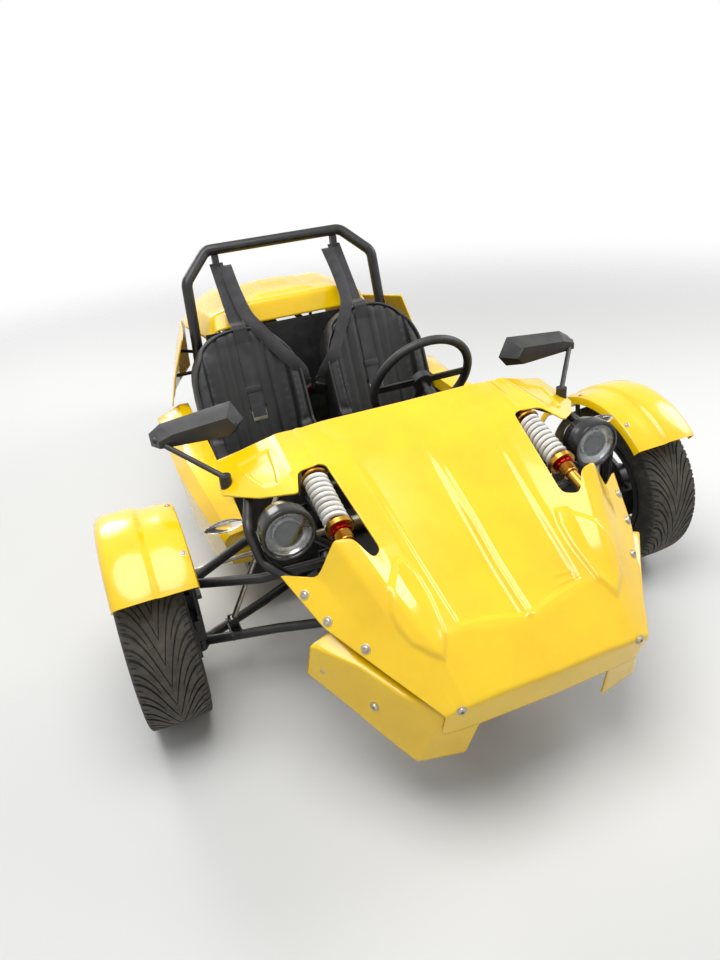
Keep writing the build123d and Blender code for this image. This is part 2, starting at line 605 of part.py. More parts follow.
def make_fender():
    """Left cycle fender: a crowned band with a raised outer half and turned-down lips."""
    low, high = FENDER_INNER_Y, FENDER_INNER_Y + FENDER_W
    top = [(low, FENDER_R - 22), (low + 3, FENDER_R - 2), (low + 12, FENDER_R + 3), (low + 92, FENDER_R + 6),
           (low + 100, FENDER_R + 6 + FENDER_STEP), (high - 12, FENDER_R + 4 + FENDER_STEP),
           (high - 3, FENDER_R), (high, FENDER_R - 22)]
    under = [(low + FENDER_T, FENDER_R - 22), (low + 6, FENDER_R - 4), (low + 14, FENDER_R - 1),
             (low + 93, FENDER_R + 2), (low + 101, FENDER_R + 2 + FENDER_STEP),
             (high - 14, FENDER_R + FENDER_STEP), (high - 7, FENDER_R - 3), (high - FENDER_T, FENDER_R - 22)]
    outline = make_face(Polyline(*top, *reversed(under), close=True))
    band = Rot(0, -FENDER_REAR_DEG, 0) * (Plane.YZ * outline)
    arch = revolve(band, Axis.Y, FENDER_FRONT_DEG + FENDER_REAR_DEG)
    return Pos(FRONT_X, 0, FRONT_TYRE_R) * arch


STAY_R = 7
STAY_Y = 634


STAY_X = 76


def make_stays(fender):
    """Two fender stays, from the steering arm and from a lug in front of the upright."""
    lug_z = STEER_ARM_Z - STEER_ARM_T / 2
    pieces = [block((FRONT_X, STAY_Y - 8, lug_z), (FRONT_X + STAY_X + 8, STAY_Y + 4, lug_z + STEER_ARM_T))]
    for side in (1, -1):
        foot = (FRONT_X + side * STAY_X, STAY_Y, STEER_ARM_Z)
        knee = (FRONT_X + side * (STAY_X + 4), STAY_Y, FRONT_TYRE_R + 200)
        head = (FRONT_X + side * (STAY_X + 18), STAY_Y + 3, FRONT_TYRE_R + 330)
        post = tube([foot, knee, head], STAY_R, 20)
        pieces.append(min((post - fender).solids(), key=lambda piece: piece.center().Z))
    return pieces


TYRE_SHOULDER = 22
BEAD = 12


def make_tyre(radius, rim_r, width, x, y):
    """Tyre as a revolved ring with rounded shoulders, bulged walls and an open inside."""
    half = width / 2
    wall = 12
    outer = [(half * 0.80, rim_r), (half * 0.80, rim_r + 11), (half, (radius + rim_r) / 2 - 4),
             (half * 0.97, radius - TYRE_SHOULDER),
             (half * 0.80, radius - 5), (0, radius)]
    inner = [(half * 0.80 - wall, rim_r), (half - wall, (radius + rim_r) / 2 - 4),
             (half * 0.85 - wall, radius - TYRE_SHOULDER), (0, radius - 14)]
    loop = outer + [(-a, b) for a, b in reversed(outer[:-1])]
    loop += [(-a, b) for a, b in inner] + list(reversed(inner[:-1]))
    section = Plane.YZ * make_face(Polyline(*loop, close=True))
    return Pos(x, y, radius) * revolve(section, Axis.Y, 360)


def make_rim(radius, rim_r, width, hub_inner, spokes, x, y, face):
    """Wheel with barrel, spokes and a bored hub. The face is on the +Y side for face = 1."""
    seat = width / 2 * 0.80
    barrel_t = 7
    barrel = [(seat + 6, rim_r + 10), (seat + 6, rim_r - barrel_t), (-seat - 6, rim_r - barrel_t),
              (-seat - 6, rim_r + 10), (-seat, rim_r + 10), (-seat, rim_r), (seat, rim_r), (seat, rim_r + 10)]
    section = Plane.YZ * make_face(Polyline(*barrel, close=True))
    rim = revolve(section, Axis.Y, 360)
    disc_y = face * seat * 0.55
    hub = Pos(0, disc_y, 0) * along_y(Cylinder(36, 30))
    pieces = [rim, hub]
    for k in range(spokes):
        for lean in (-4, 4):
            spoke = Pos(0, disc_y, (rim_r - 5) / 2 + 10) * Box(17, 16, rim_r - 25)
            pieces.append(Rot(0, k * 360 / spokes + lean, 0) * spoke)
    wheel = pieces[0].fuse(*pieces[1:])
    bore = along_y(Cylinder(hub_inner + BORE_GAP, width + 100))
    return Pos(x, y, radius) * (wheel - bore)


def make_front_wheel_hub():
    """Left front brake disc with its bell, on the wheel's side of the stub."""
    seat = FRONT_TYRE_W / 2 * 0.80
    face_y = WHEEL_Y + seat * 0.55 - 15
    disc = Pos(FRONT_X, DISC_Y, FRONT_TYRE_R) * along_y(ring(DISC_R, 50, DISC_T))
    bell_length = face_y - (DISC_Y - DISC_T / 2)
    bell_middle = (face_y + DISC_Y - DISC_T / 2) / 2
    bell = Pos(FRONT_X, bell_middle, FRONT_TYRE_R) * along_y(ring(52, STUB_R + BORE_GAP, bell_length))
    return disc.fuse(bell)


RACK_HOUSING_R = 22
SWING_Z = 300
SWING_PIN_R = 8
SWING_LEG_Y = 150
SWING_LEG_R = 18
AXLE_PLATE_R = 30
AXLE_R = 10
REAR_SHOCK_TOP = 530
REAR_SHOCK_FOOT = 345


def make_rack_housing():
    housing = bar((RACK_X, -170, ROD_Z), (RACK_X, 170, ROD_Z), RACK_HOUSING_R)
    return housing - bar((RACK_X, -200, ROD_Z), (RACK_X, 200, ROD_Z), RACK_R + BORE_GAP)


def make_rack():
    """Rack bar with a tie rod on each end; its eyes lie on the steering arms."""
    rack = bar((RACK_X, -255, ROD_Z), (RACK_X, 255, ROD_Z), RACK_R)
    eye_y = KINGPIN_Y - 18
    pieces = []
    for side in (1, -1):
        pieces.append(Pos(RACK_X, side * 262, ROD_Z) * along_y(Cylinder(15, 26)))
        pieces.append(bar((RACK_X, side * 262, ROD_Z), (RACK_X, side * (eye_y - 10), ROD_Z), ROD_R))
        pieces.append(bar((RACK_X, side * (eye_y - 70), ROD_Z), (RACK_X, side * (eye_y - 35), ROD_Z), ROD_R + 3))
        pieces.append(Pos(RACK_X, side * eye_y, ROD_Z) * Cylinder(ROD_EYE_R, ROD_EYE_H))
    rack = rack.fuse(*pieces)
    for side in (1, -1):
        rack = rack - Pos(RACK_X, side * eye_y, ROD_Z) * Cylinder(6, ROD_EYE_H + 2)
    return rack


def shock(start, end, y_axis=True):
    """Damper between two eyes: rod, spring seats, adjuster, body and eyes."""
    run = Vector(*end) - Vector(*start)
    place = Plane(origin=start, x_dir=(0, 1, 0), z_dir=run)
    length = run.length
    collar = length * 0.61
    low = (Align.CENTER, Align.CENTER, Align.MIN)
    pieces = [
        Cylinder(8, collar, align=low),
        Pos(0, 0, SHOCK_EYE_R + 14) * Cylinder(COIL_R + 3, 4, align=low),
        Pos(0, 0, collar - 2) * Cylinder(COIL_R + 3, 12, align=low),
        Pos(0, 0, collar + 10) * Cylinder(19, length * 0.12, align=low),
        Pos(0, 0, collar + 10 + length * 0.12) * Cylinder(14, length * 0.27 - 10 - SHOCK_EYE_R - 12, align=low),
        Pos(0, 0, length - 30) * Cylinder(8, 30, align=low),
        Rot(0, 90, 0) * Cylinder(SHOCK_EYE_R, SHOCK_EYE_T),
        Pos(0, 0, length) * Rot(0, 90, 0) * Cylinder(SHOCK_EYE_R, SHOCK_EYE_T),
    ]
    body = pieces[0].fuse(*pieces[1:])
    for z in (0, length):
        body = body - Pos(0, 0, z) * Rot(0, 90, 0) * Cylinder(SHOCK_PIN_R + BORE_GAP, SHOCK_EYE_T + 2)
    return place * body


def coil(start, end):
    """Coil spring between the seats of a damper."""
    run = Vector(*end) - Vector(*start)
    place = Plane(origin=start, x_dir=(0, 1, 0), z_dir=run)
    low = SHOCK_EYE_R + 18 + COIL_WIRE_R + SEAT_GAP
    high = run.length * 0.61 - 2 - COIL_WIRE_R - SEAT_GAP
    pitch = (high - low) / COIL_TURNS
    path = Helix(pitch, high - low, COIL_R - COIL_WIRE_R)
    section = Plane(origin=path @ 0, z_dir=path % 0) * Circle(COIL_WIRE_R)
    return place * Pos(0, 0, low) * sweep(section, path)


REAR_SHOCK = ((TAIL_X, 0, REAR_SHOCK_TOP), (SWING_CROSS_X, 0, REAR_SHOCK_FOOT))


def make_rocker():
    """Rocker plate on the frame bearing, with its pushrod to the lower wishbone."""
    shock_x, shock_y, shock_z = SHOCK_REAR
    push_x, push_y, push_z = PUSHROD_TOP
    corners = [(shock_x, shock_z, 13), (ROCKER_X, ROCKER_Z, 17), (push_x, push_z, 14)]
    outline = make_hull([edge for x, z, r in corners for edge in (Pos(x, z) * Circle(r)).edges()])
    plate = Pos(0, ROCKER_Y, 0) * extrude(Plane.XZ * outline, ROCKER_T / 2, both=True)
    plate = plate - bar((ROCKER_X, ROCKER_Y - 20, ROCKER_Z), (ROCKER_X, ROCKER_Y + 20, ROCKER_Z), SHOCK_PIN_R + BORE_GAP)
    pins = [bar((shock_x, shock_y - 14, shock_z), (shock_x, ROCKER_Y, shock_z), SHOCK_PIN_R),
            bar((push_x, ROCKER_Y, push_z), (push_x, push_y + 12, push_z), 5)]
    return plate.fuse(*pins)


def make_pushrod():
    top, foot = Vector(*PUSHROD_TOP), Vector(*PUSHROD_FOOT)
    rod = bar(PUSHROD_TOP, PUSHROD_FOOT, PUSHROD_R)
    top_eye = Pos(*top) * along_y(Cylinder(11, 16))
    foot_eye = Pos(*foot) * along_x(Cylinder(10, 17))
    rod = rod.fuse(top_eye, foot_eye)
    rod = rod - Pos(*top) * along_y(Cylinder(5 + BORE_GAP, 40))
    rod = rod - Pos(*top) * Pos(0, -28, 0) * Box(80, 40, 80)
    return rod - Pos(*foot) * along_x(Cylinder(5 + BORE_GAP, 40))


def make_swing_arm():
    """Rear fork with its pivot sleeve, cross tube, spring ears and wheel axle."""
    pieces = [bar((TAIL_X, -162, SWING_Z), (TAIL_X, 162, SWING_Z), 20),
              bar((SWING_CROSS_X, -SWING_LEG_Y, SWING_Z - 5), (SWING_CROSS_X, SWING_LEG_Y, SWING_Z - 5), 16),
              bar((REAR_X, -SWING_LEG_Y - 25, REAR_TYRE_R), (REAR_X, SWING_LEG_Y + 25, REAR_TYRE_R), AXLE_R)]
    for side in (1, -1):
        y = side * SWING_LEG_Y
        pieces.append(bar((TAIL_X, y, SWING_Z), (REAR_X + 20, y, REAR_TYRE_R), SWING_LEG_R))
        pieces.append(Pos(REAR_X, y, REAR_TYRE_R) * along_y(Cylinder(AXLE_PLATE_R, 16)))
        gap = SHOCK_EYE_T / 2 + SEAT_GAP
        ear = block((SWING_CROSS_X - 14, gap, SWING_Z - 5), (SWING_CROSS_X + 14, gap + EAR_T, REAR_SHOCK_FOOT + 14))
        pieces.append(ear if side > 0 else right(ear))
    pieces.append(bar((SWING_CROSS_X, -18, REAR_SHOCK_FOOT), (SWING_CROSS_X, 18, REAR_SHOCK_FOOT), SHOCK_PIN_R))
    arm = pieces[0].fuse(*pieces[1:])
    return arm - bar((TAIL_X, -190, SWING_Z), (TAIL_X, 190, SWING_Z), SWING_PIN_R + BORE_GAP)


LAMP_X = FRONT_X + 239
LAMP_Y = 412
LAMP_Z = 584
LAMP_R = 64
LENS_R = 54


def make_lamp():
    """Round headlamp housing, open to the front, with a projector ring inside."""
    profile = Polyline((-62, 0), (-62, 26), (-30, 54), (0, LAMP_R), (34, LAMP_R), (34, LENS_R + 0.3),
                       (10, LENS_R + 0.3), (10, 0), close=True)
    shell = revolve(make_face(profile), Axis.X, 360)
    ring_piece = Pos(18, 0, 0) * along_x(ring(34, 27, 16))
    return Pos(LAMP_X, LAMP_Y, LAMP_Z) * shell.fuse(ring_piece)


def make_lens():
    """Glass cover on the front of the housing and the projector ball behind it."""
    cover = Pos(31, 0, 0) * along_x(Cylinder(LENS_R, 6))
    ball = Pos(17, 0, 0) * along_x(Cylinder(26.7, 14))
    return Pos(LAMP_X, LAMP_Y, LAMP_Z) * Compound([*cover.solids(), *ball.solids()])


def make_lamp_bracket(lamp):
    post = bar((FRONT_X + 190, TOP_RAIL_Y, TOP_RAIL_Z), (LAMP_X - 30, LAMP_Y, LAMP_Z), 9)
    origin = Vector(FRONT_X + 190, TOP_RAIL_Y, TOP_RAIL_Z)
    rail = bar((AFT_X, TOP_RAIL_Y, TOP_RAIL_Z), (FORE_X, TOP_RAIL_Y, TOP_RAIL_Z), LIGHT_TUBE_R)
    pieces = (post - lamp - rail).solids()
    return max(pieces, key=lambda piece: piece.volume)


MIRROR_FOOT = (FRONT_X + 20, 490, 634)
MIRROR_KNEE = (FRONT_X - 120, 621, 711)


def make_mirror_arm(hood):
    x, y, z = MIRROR_FOOT
    foot = bar((x, y, 590), (x, y, 640), 15)
    foot = max((foot - hood).solids(), key=lambda piece: piece.center().Z)
    arm = bar(MIRROR_FOOT, MIRROR_KNEE, 7)
    return foot.fuse(arm, Pos(*MIRROR_KNEE) * Sphere(9))


def make_mirror_head():
    x, y, z = MIRROR_KNEE
    outline = [(y + 12, z - 24), (y - 205, z - 40), (y - 232, z - 8), (y - 205, z + 48),
               (y - 20, z + 30), (y + 12, z + 10)]
    glass_side = Face(Wire.make_polygon([Vector(x - 30, a, b) for a, b in outline], close=True))
    back = [(y - 5, z - 14), (y - 180, z - 24), (y - 200, z - 4), (y - 180, z + 26),
            (y - 40, z + 16), (y - 5, z + 4)]
    back_side = Face(Wire.make_polygon([Vector(x + 25, a, b) for a, b in back], close=True))
    head = loft([glass_side, back_side], ruled=True)
    return head - (Pos(*MIRROR_KNEE) * Sphere(9.3)) - bar(MIRROR_FOOT, MIRROR_KNEE, 7.3)


INDICATOR_LENGTH = 96
INDICATOR_R = 15


def make_indicator():
    """Leaf-shaped front indicator on a short stalk from the lamp hoop."""
    x, y, z = FRONT_X + 140, 530, 572
    half = INDICATOR_LENGTH / 2
    profile = ThreePointArc((2, -half), (INDICATOR_R, 0), (2, half)) + Polyline((2, half), (0, half), (0, -half), (2, -half))
    leaf = Pos(x, y, z) * revolve(make_face(profile), Axis.Y, 360)
    stalk = bar((x, 470, z), (x, y - half + 8, z), 7)
    hoop = tube(LAMP_HOOP, LIGHT_TUBE_R, LAMP_HOOP_BEND)
    piece = leaf.fuse(stalk) - hoop
    return max(piece.solids(), key=lambda solid: solid.volume)


def make_steering_wheel():
    """Steering wheel with three spokes, hub and the upper shaft."""
    rim = Torus(STEERING_WHEEL_R, STEERING_RIM_R)
    hub = Cylinder(32, 24)
    spokes = [Rot(0, 0, angle) * Pos(STEERING_WHEEL_R / 2, 0, 0) * Box(STEERING_WHEEL_R - 10, 26, 6)
              for angle in (0, 90, 180)]
    shaft = Cylinder(SHAFT_R, SHAFT_L, align=(Align.CENTER, Align.CENTER, Align.MAX))
    return steering_place() * rim.fuse(hub, *spokes, shaft)


SHAFT_R = 10
SHAFT_L = 330
COLUMN_R = 20


def steering_place():
    lean = math.radians(STEERING_TILT)
    axis = (-math.cos(lean), 0, math.sin(lean))
    return Plane(origin=(STEERING_X, STEERING_Y, STEERING_Z), x_dir=(0, 1, 0), z_dir=axis)


def make_column():
    """Fixed column housing hung from the scuttle tube, and the lower shaft to the rack."""
    low = (Align.CENTER, Align.CENTER, Align.MAX)
    housing = Pos(0, 0, -50) * Cylinder(COLUMN_R, 250, align=low)
    housing = steering_place() * (housing - Pos(0, 0, -40) * Cylinder(SHAFT_R + BORE_GAP, 300, align=low))
    lean = math.radians(STEERING_TILT)
    hang_x = STEERING_X + 280 * math.cos(lean)
    hang_z = STEERING_Z - 280 * math.sin(lean)
    hanger = bar((hang_x, STEERING_Y, hang_z + 8), (SCUTTLE_X, STEERING_Y, SCUTTLE_Z), 9)
    hanger = hanger - bar((SCUTTLE_X, 100, SCUTTLE_Z), (SCUTTLE_X, 400, SCUTTLE_Z), LIGHT_TUBE_R)
    bore = steering_place() * Pos(0, 0, -40) * Cylinder(SHAFT_R + BORE_GAP, 300, align=low)
    column = housing.fuse(*hanger.solids()) - bore
    return column


PINION_Y = 110


def make_lower_shaft():
    """Lower steering shaft from the column's joint down to the pinion tower."""
    lean = math.radians(STEERING_TILT)
    far = SHAFT_L + 16
    top = (STEERING_X + far * math.cos(lean), STEERING_Y, STEERING_Z - far * math.sin(lean))
    shaft = bar(top, (RACK_X, PINION_Y, ROD_Z + RACK_HOUSING_R + 20), 8)
    tower = bar((RACK_X, PINION_Y, ROD_Z), (RACK_X, PINION_Y, ROD_Z + RACK_HOUSING_R + 30), 16)
    tower = tower - bar((RACK_X, 0, ROD_Z), (RACK_X, 300, ROD_Z), RACK_HOUSING_R)
    tower = max(tower.solids(), key=lambda piece: piece.center().Z)
    return tower.fuse(shaft)


def make_firewall():
    corners = [(BULKHEAD_X, TUB_TOP), (BULKHEAD_X + SHEET, TUB_TOP), (BULKHEAD_X - 7, 720), (BULKHEAD_X - 10, 720)]
    sketch = Plane.XZ * make_face(Polyline(*corners, close=True))
    return extrude(sketch, 330, both=True)


ENGINE_HALF = 140
CASE_TOP = 430
GEARBOX_TOP = 390
HEAD_TOP = 590
HEAD_HALF = 75
CHAIN_T = 9
CHAIN_W = 12
CHAIN_GAP = 0.4
SPROCKET_Y = 116
SPROCKET_T = 7
SPROCKET_R = 88
FRONT_SPROCKET_R = 36
FRONT_SPROCKET_X = ENGINE_REAR + 40
FRONT_SPROCKET_Z = SWING_Z
OUTPUT_SHAFT_R = 14


def make_engine():
    """Engine block ahead of the rear wheel, one plain mass, with the sprocket that drives the chain."""
    bottom = ENGINE_TUBE_Z + ENGINE_TUBE_R + SEAT_GAP
    case_rear = FRONT_SPROCKET_X + FRONT_SPROCKET_R + CHAIN_T + 8
    gearbox_left = SPROCKET_Y - CHAIN_W / 2 - 10
    case = block((case_rear, -ENGINE_HALF, bottom), (ENGINE_FRONT, ENGINE_HALF, CASE_TOP))
    gearbox = block((ENGINE_REAR, -ENGINE_HALF, bottom), (case_rear + 10, gearbox_left, GEARBOX_TOP))
    head = block((ENGINE_REAR + 25, -HEAD_HALF, GEARBOX_TOP - 10), (ENGINE_FRONT - 70, HEAD_HALF, HEAD_TOP))
    sprocket = Cylinder(FRONT_SPROCKET_R, SPROCKET_T)
    sprocket = Pos(FRONT_SPROCKET_X, SPROCKET_Y, FRONT_SPROCKET_Z) * along_y(sprocket)
    shaft = bar((FRONT_SPROCKET_X, gearbox_left - 10, FRONT_SPROCKET_Z),
                (FRONT_SPROCKET_X, SPROCKET_Y + 8, FRONT_SPROCKET_Z), OUTPUT_SHAFT_R)
    return case.fuse(gearbox, head, sprocket, shaft)


def make_chain():
    """Drive chain round both sprockets, as one closed band."""
    centres = [(REAR_X, REAR_TYRE_R, SPROCKET_R), (FRONT_SPROCKET_X, FRONT_SPROCKET_Z, FRONT_SPROCKET_R)]

    def loop(extra):
        circles = [Pos(x, z) * Circle(r + CHAIN_GAP + extra) for x, z, r in centres]
        outline = make_face(make_hull([edge for circle in circles for edge in circle.edges()]))
        return Pos(0, SPROCKET_Y, 0) * extrude(Plane.XZ * outline, CHAIN_W / 2, both=True)

    return loop(CHAIN_T) - loop(0)


def make_rear_wheel_hub():
    """Sprocket and brake disc on the rear hub."""
    sprocket = Pos(REAR_X, SPROCKET_Y, REAR_TYRE_R) * along_y(ring(SPROCKET_R, AXLE_R + BORE_GAP, SPROCKET_T))
    spacer = Pos(REAR_X, 60, REAR_TYRE_R) * along_y(ring(30, AXLE_R + BORE_GAP, 118))
    other = Pos(REAR_X, -60, REAR_TYRE_R) * along_y(ring(30, AXLE_R + BORE_GAP, 118))
    disc = Pos(REAR_X, -116, REAR_TYRE_R) * along_y(ring(105, AXLE_R + BORE_GAP, 5))
    return sprocket.fuse(spacer, other, disc)


DASH_TUCK = 12
DASH_DROP = 8
POD_Y = 225
POD_WIDTH = 120
POD_HEIGHT = 54
POD_DEPTH = 50


def make_dash():
    """Dash panel from the rear edge of the hood down to the scuttle tube, with a pod for the gauges."""
    foot_z = SCUTTLE_Z + LIGHT_TUBE_R + SEAT_GAP + SHEET / 2
    top = [(x + DASH_TUCK, y, z - GRP - DASH_DROP) for x, y, z in HOOD_ROWS[0][:5]]
    foot = [(SCUTTLE_X - FRONT_X, y, foot_z) for _, y, _ in top]
    skin = panel(at_front([foot, top]), SHEET, mirrored=True)
    low = SCUTTLE_Z + LIGHT_TUBE_R + 2
    outline = Pos(POD_Y, low + POD_HEIGHT / 2) * RectangleRounded(POD_WIDTH, POD_HEIGHT, POD_HEIGHT / 3)
    pod = Pos(SCUTTLE_X + 20 - POD_DEPTH, 0, 0) * extrude(Plane.YZ * outline, POD_DEPTH)
    return skin.fuse(pod)


PEDAL_X = FOOTBOX_FRONT - 70
PEDAL_TOP = FOOTBOX_TOP - GRP
PEDAL_BAR_R = 7
# Pedals: (y, width)
PEDALS = [(58, 42), (108, 44), (152, 32)]


def make_pedals():
    """Three hanging pedals on one cross bar under the top of the footbox."""
    bar_z = PEDAL_TOP - 16
    pieces = [block((PEDAL_X - 9, 22, PEDAL_TOP - 24), (PEDAL_X + 9, 30, PEDAL_TOP))]
    for y, width in PEDALS:
        pieces.append(block((PEDAL_X - 5, y - 5, PEDAL_TOP - 84), (PEDAL_X + 5, y + 5, bar_z)))
        pieces.append(block((PEDAL_X - 11, y - width / 2, PEDAL_TOP - 108), (PEDAL_X - 3, y + width / 2, PEDAL_TOP - 62)))
    cross = bar((PEDAL_X, 20, bar_z), (PEDAL_X, PEDALS[-1][0] + 10, bar_z), PEDAL_BAR_R)
    return cross.fuse(*pieces)


LEVER_X = BULKHEAD_X + 470
LEVER_LEAN = 30
LEVER_H = 290
KNOB_R = 22


def make_gear_lever():
    """Gear lever between the seats, on its foot plate and gaiter."""
    z = FLOOR_Z + GRP
    foot = block((LEVER_X - 40, -28, z), (LEVER_X + 40, 28, z + 6))
    top = (LEVER_X - LEVER_LEAN, 0, z + LEVER_H)
    gaiter = Pos(LEVER_X, 0, z + 5) * Cone(26, 9, 55, align=(Align.CENTER, Align.CENTER, Align.MIN))
    knob = Cylinder(KNOB_R, 2 * KNOB_R)
    knob = fillet(knob.edges(), KNOB_R / 2)
    return foot.fuse(gaiter, bar((LEVER_X, 0, z + 3), top, 7), Pos(*top) * knob)


BELT_T = 3
BELT_W = 48
BELT_Y = SEAT_Y - 12
ANCHOR_W = 22
TONGUE_L = 38
TONGUE_T = 7
# Shoulder belt in side view from the anchor to the tongue: (ahead of the bulkhead, z)
BELT_LINE = [(HOOP_TOP_X - BULKHEAD_X, 936), (48, SEAT_TOP + 5), (90, SEAT_TOP + 4.5), (104, SEAT_TOP - 5),
             (110.5, 701), (184, 492)]


def make_belt(side):
    """Shoulder belt from its anchor under the roll hoop over the seat back down to its tongue."""
    y = side * BELT_Y
    path = Polyline(*[(BULKHEAD_X + x, z) for x, z in BELT_LINE])
    line = Plane.XZ * trace(path, line_width=BELT_T)
    belt = Pos(0, y, 0) * extrude(line, BELT_W / 2, both=True)
    top = HOOP_TOP_Z - MAIN_TUBE_R - SEAT_GAP
    anchor = block((HOOP_TOP_X - 12, y - ANCHOR_W / 2, BELT_LINE[0][1] - 8), (HOOP_TOP_X + 12, y + ANCHOR_W / 2, top))
    end = Vector(BULKHEAD_X + BELT_LINE[-1][0], BELT_LINE[-1][1])
    run = (end - Vector(BULKHEAD_X + BELT_LINE[-2][0], BELT_LINE[-2][1])).normalized()
    out = Vector(-run.Y, run.X) * (TONGUE_T - BELT_T) / 2
    plate = trace(Polyline(end + out - run * 3, end + out + run * TONGUE_L), line_width=TONGUE_T)
    tongue = Pos(0, y, 0) * extrude(Plane.XZ * plate, BELT_W / 2, both=True)
    return belt.fuse(anchor, tongue)


GUARD_GAP = 32
GUARD_T = 4
GUARD_W = REAR_TYRE_W + 30
GUARD_SIDE = 22
GUARD_LOW_DEG = 32
GUARD_HIGH_DEG = 66
GUARD_STAY_R = 6


def make_mudguard():
    """Guard over the rear tyre on two stays from the swing arm."""
    inner = REAR_TYRE_R + GUARD_GAP
    half = GUARD_W / 2
    band = Pos(0, inner + GUARD_T / 2) * Rectangle(GUARD_W, GUARD_T)
    for side in (1, -1):
        band += Pos(side * (half - GUARD_T / 2), inner - GUARD_SIDE / 2 + GUARD_T) * Rectangle(GUARD_T, GUARD_SIDE)
    section = Plane(origin=(0, 0, 0), x_dir=(0, 1, 0), z_dir=(1, 0, 0)) * band
    guard = revolve(section, Axis.Y, GUARD_HIGH_DEG - GUARD_LOW_DEG)
    guard = Pos(REAR_X, 0, REAR_TYRE_R) * Rot(0, GUARD_LOW_DEG - 90, 0) * guard
    middle = math.radians((GUARD_LOW_DEG + GUARD_HIGH_DEG) / 2)
    reach = inner - GUARD_SIDE / 2
    head = (REAR_X - reach * math.cos(middle), half, REAR_TYRE_R + reach * math.sin(middle))
    foot_z = REAR_TYRE_R + AXLE_PLATE_R + SEAT_GAP
    pieces = []
    for side in (1, -1):
        y = side * SWING_LEG_Y
        pieces.append(block((REAR_X - 22, y - 9, foot_z), (REAR_X + 14, y + 9, foot_z + 5)))
        pieces.append(bar((REAR_X - 8, y, foot_z + 3), (head[0], side * head[1], head[2]), GUARD_STAY_R))
    return guard.fuse(*pieces)


TAIL_LAMP_R = 27
TAIL_LAMP_T = 24
TAIL_LAMP_Y = 105


def make_tail_lamp():
    """Round rear lamp on the steep end of the rear deck."""
    top, low = DECK_ROWS[-2][1], DECK_ROWS[-1][1]
    down = Vector(low[0] - top[0], 0, low[2] - top[2]).normalized()
    out = Vector(down.Z, 0, -down.X)
    seat = Vector(REAR_X + (top[0] + low[0]) / 2, TAIL_LAMP_Y, (top[2] + low[2]) / 2) + out * (2 * SEAT_GAP)
    lamp = Cylinder(TAIL_LAMP_R, TAIL_LAMP_T, align=(Align.CENTER, Align.CENTER, Align.MIN))
    lamp = chamfer(lamp.edges().group_by(Axis.Z)[-1], 4)
    return Plane(origin=seat, z_dir=out) * lamp


def main():
    PARTS["hood"] = make_hood()
    PARTS["front_bumper"] = make_bumper()
    PARTS["rear_deck"] = panel(at_rear(DECK_ROWS), -GRP, mirrored=True)
    PARTS["rear_sides"] = both(panel(at_rear(SIDE_ROWS), -GRP))
    PARTS["side_pods"] = both(make_pod())
    PARTS["floor_tub"] = make_tub()
    PARTS["firewall"] = make_firewall()
    PARTS["seat_left"] = make_seat(1)
    PARTS["seat_right"] = make_seat(-1)
    frame, lamp_hoops = make_frame(PARTS["hood"], PARTS["front_bumper"], PARTS["rear_deck"], PARTS["rear_sides"])
    PARTS["chassis_frame"] = frame
    PARTS["lamp_hoops"] = lamp_hoops
    PARTS["roll_hoop"] = make_hoop()
    PARTS["lower_arms"] = both(make_lower_arm())
    PARTS["upper_arms"] = both(make_wishbone(UPPER_PIVOTS, UPPER_BALL_Z, 0.75))
    PARTS["rockers"] = both(make_rocker())
    PARTS["pushrods"] = both(make_pushrod())
    front = shock(SHOCK_REAR, SHOCK_FRONT)
    PARTS["dampers"] = Compound([*both(front).solids(), *shock(*REAR_SHOCK).solids()])
    spring = coil(SHOCK_REAR, SHOCK_FRONT)
    PARTS["springs"] = Compound([*both(spring).solids(), *coil(*REAR_SHOCK).solids()])
    PARTS["rack_housing"] = make_rack_housing()
    PARTS["steering_column"] = make_column()
    PARTS["lower_shaft"] = make_lower_shaft()
    lamp = make_lamp()
    PARTS["headlamps"] = both(lamp)
    PARTS["headlamp_glass"] = both(make_lens())
    PARTS["lamp_brackets"] = both(make_lamp_bracket(lamp))
    PARTS["mirror_arms"] = both(make_mirror_arm(PARTS["hood"]))
    PARTS["mirror_heads"] = both(make_mirror_head())
    PARTS["indicators"] = both(make_indicator())
    PARTS["engine"] = make_engine()
    PARTS["chain"] = make_chain()
    PARTS["cockpit_fittings"] = Compound([make_dash(), make_pedals(), make_gear_lever()])
    PARTS["belts"] = Compound([make_belt(1), make_belt(-1)])
    PARTS["mudguard"] = make_mudguard()
    PARTS["tail_lamps"] = both(make_tail_lamp())
    PARTS["swing_arm"] = make_swing_arm()
    PARTS["steering_wheel"] = make_steering_wheel()
    PARTS["steering_rack"] = make_rack()
    fender = make_fender()
    knuckle = make_knuckle().fuse(*make_stays(fender))
    tyre = make_tyre(FRONT_TYRE_R, FRONT_RIM_R, FRONT_TYRE_W, FRONT_X, WHEEL_Y)
    rim = make_rim(FRONT_TYRE_R, FRONT_RIM_R, FRONT_TYRE_W, STUB_R, 5, FRONT_X, WHEEL_Y, 1)
    rim = rim.fuse(make_front_wheel_hub())
    for name, shape in (("fender", fender), ("knuckle", knuckle), ("tyre_front", tyre), ("rim_front", rim)):
        PARTS[f"{name}_left"] = shape
        PARTS[f"{name}_right"] = right(shape)
    PARTS["tyre_rear"] = make_tyre(REAR_TYRE_R, REAR_RIM_R, REAR_TYRE_W, REAR_X, 0)
    rear_rim = make_rim(REAR_TYRE_R, REAR_RIM_R, REAR_TYRE_W, AXLE_R, 5, REAR_X, 0, 0)
    PARTS["rim_rear"] = rear_rim.fuse(make_rear_wheel_hub())
    os.makedirs("parts", exist_ok=True)
    for name, shape in PARTS.items():
        export_step(shape, f"parts/{name}.step")


main()
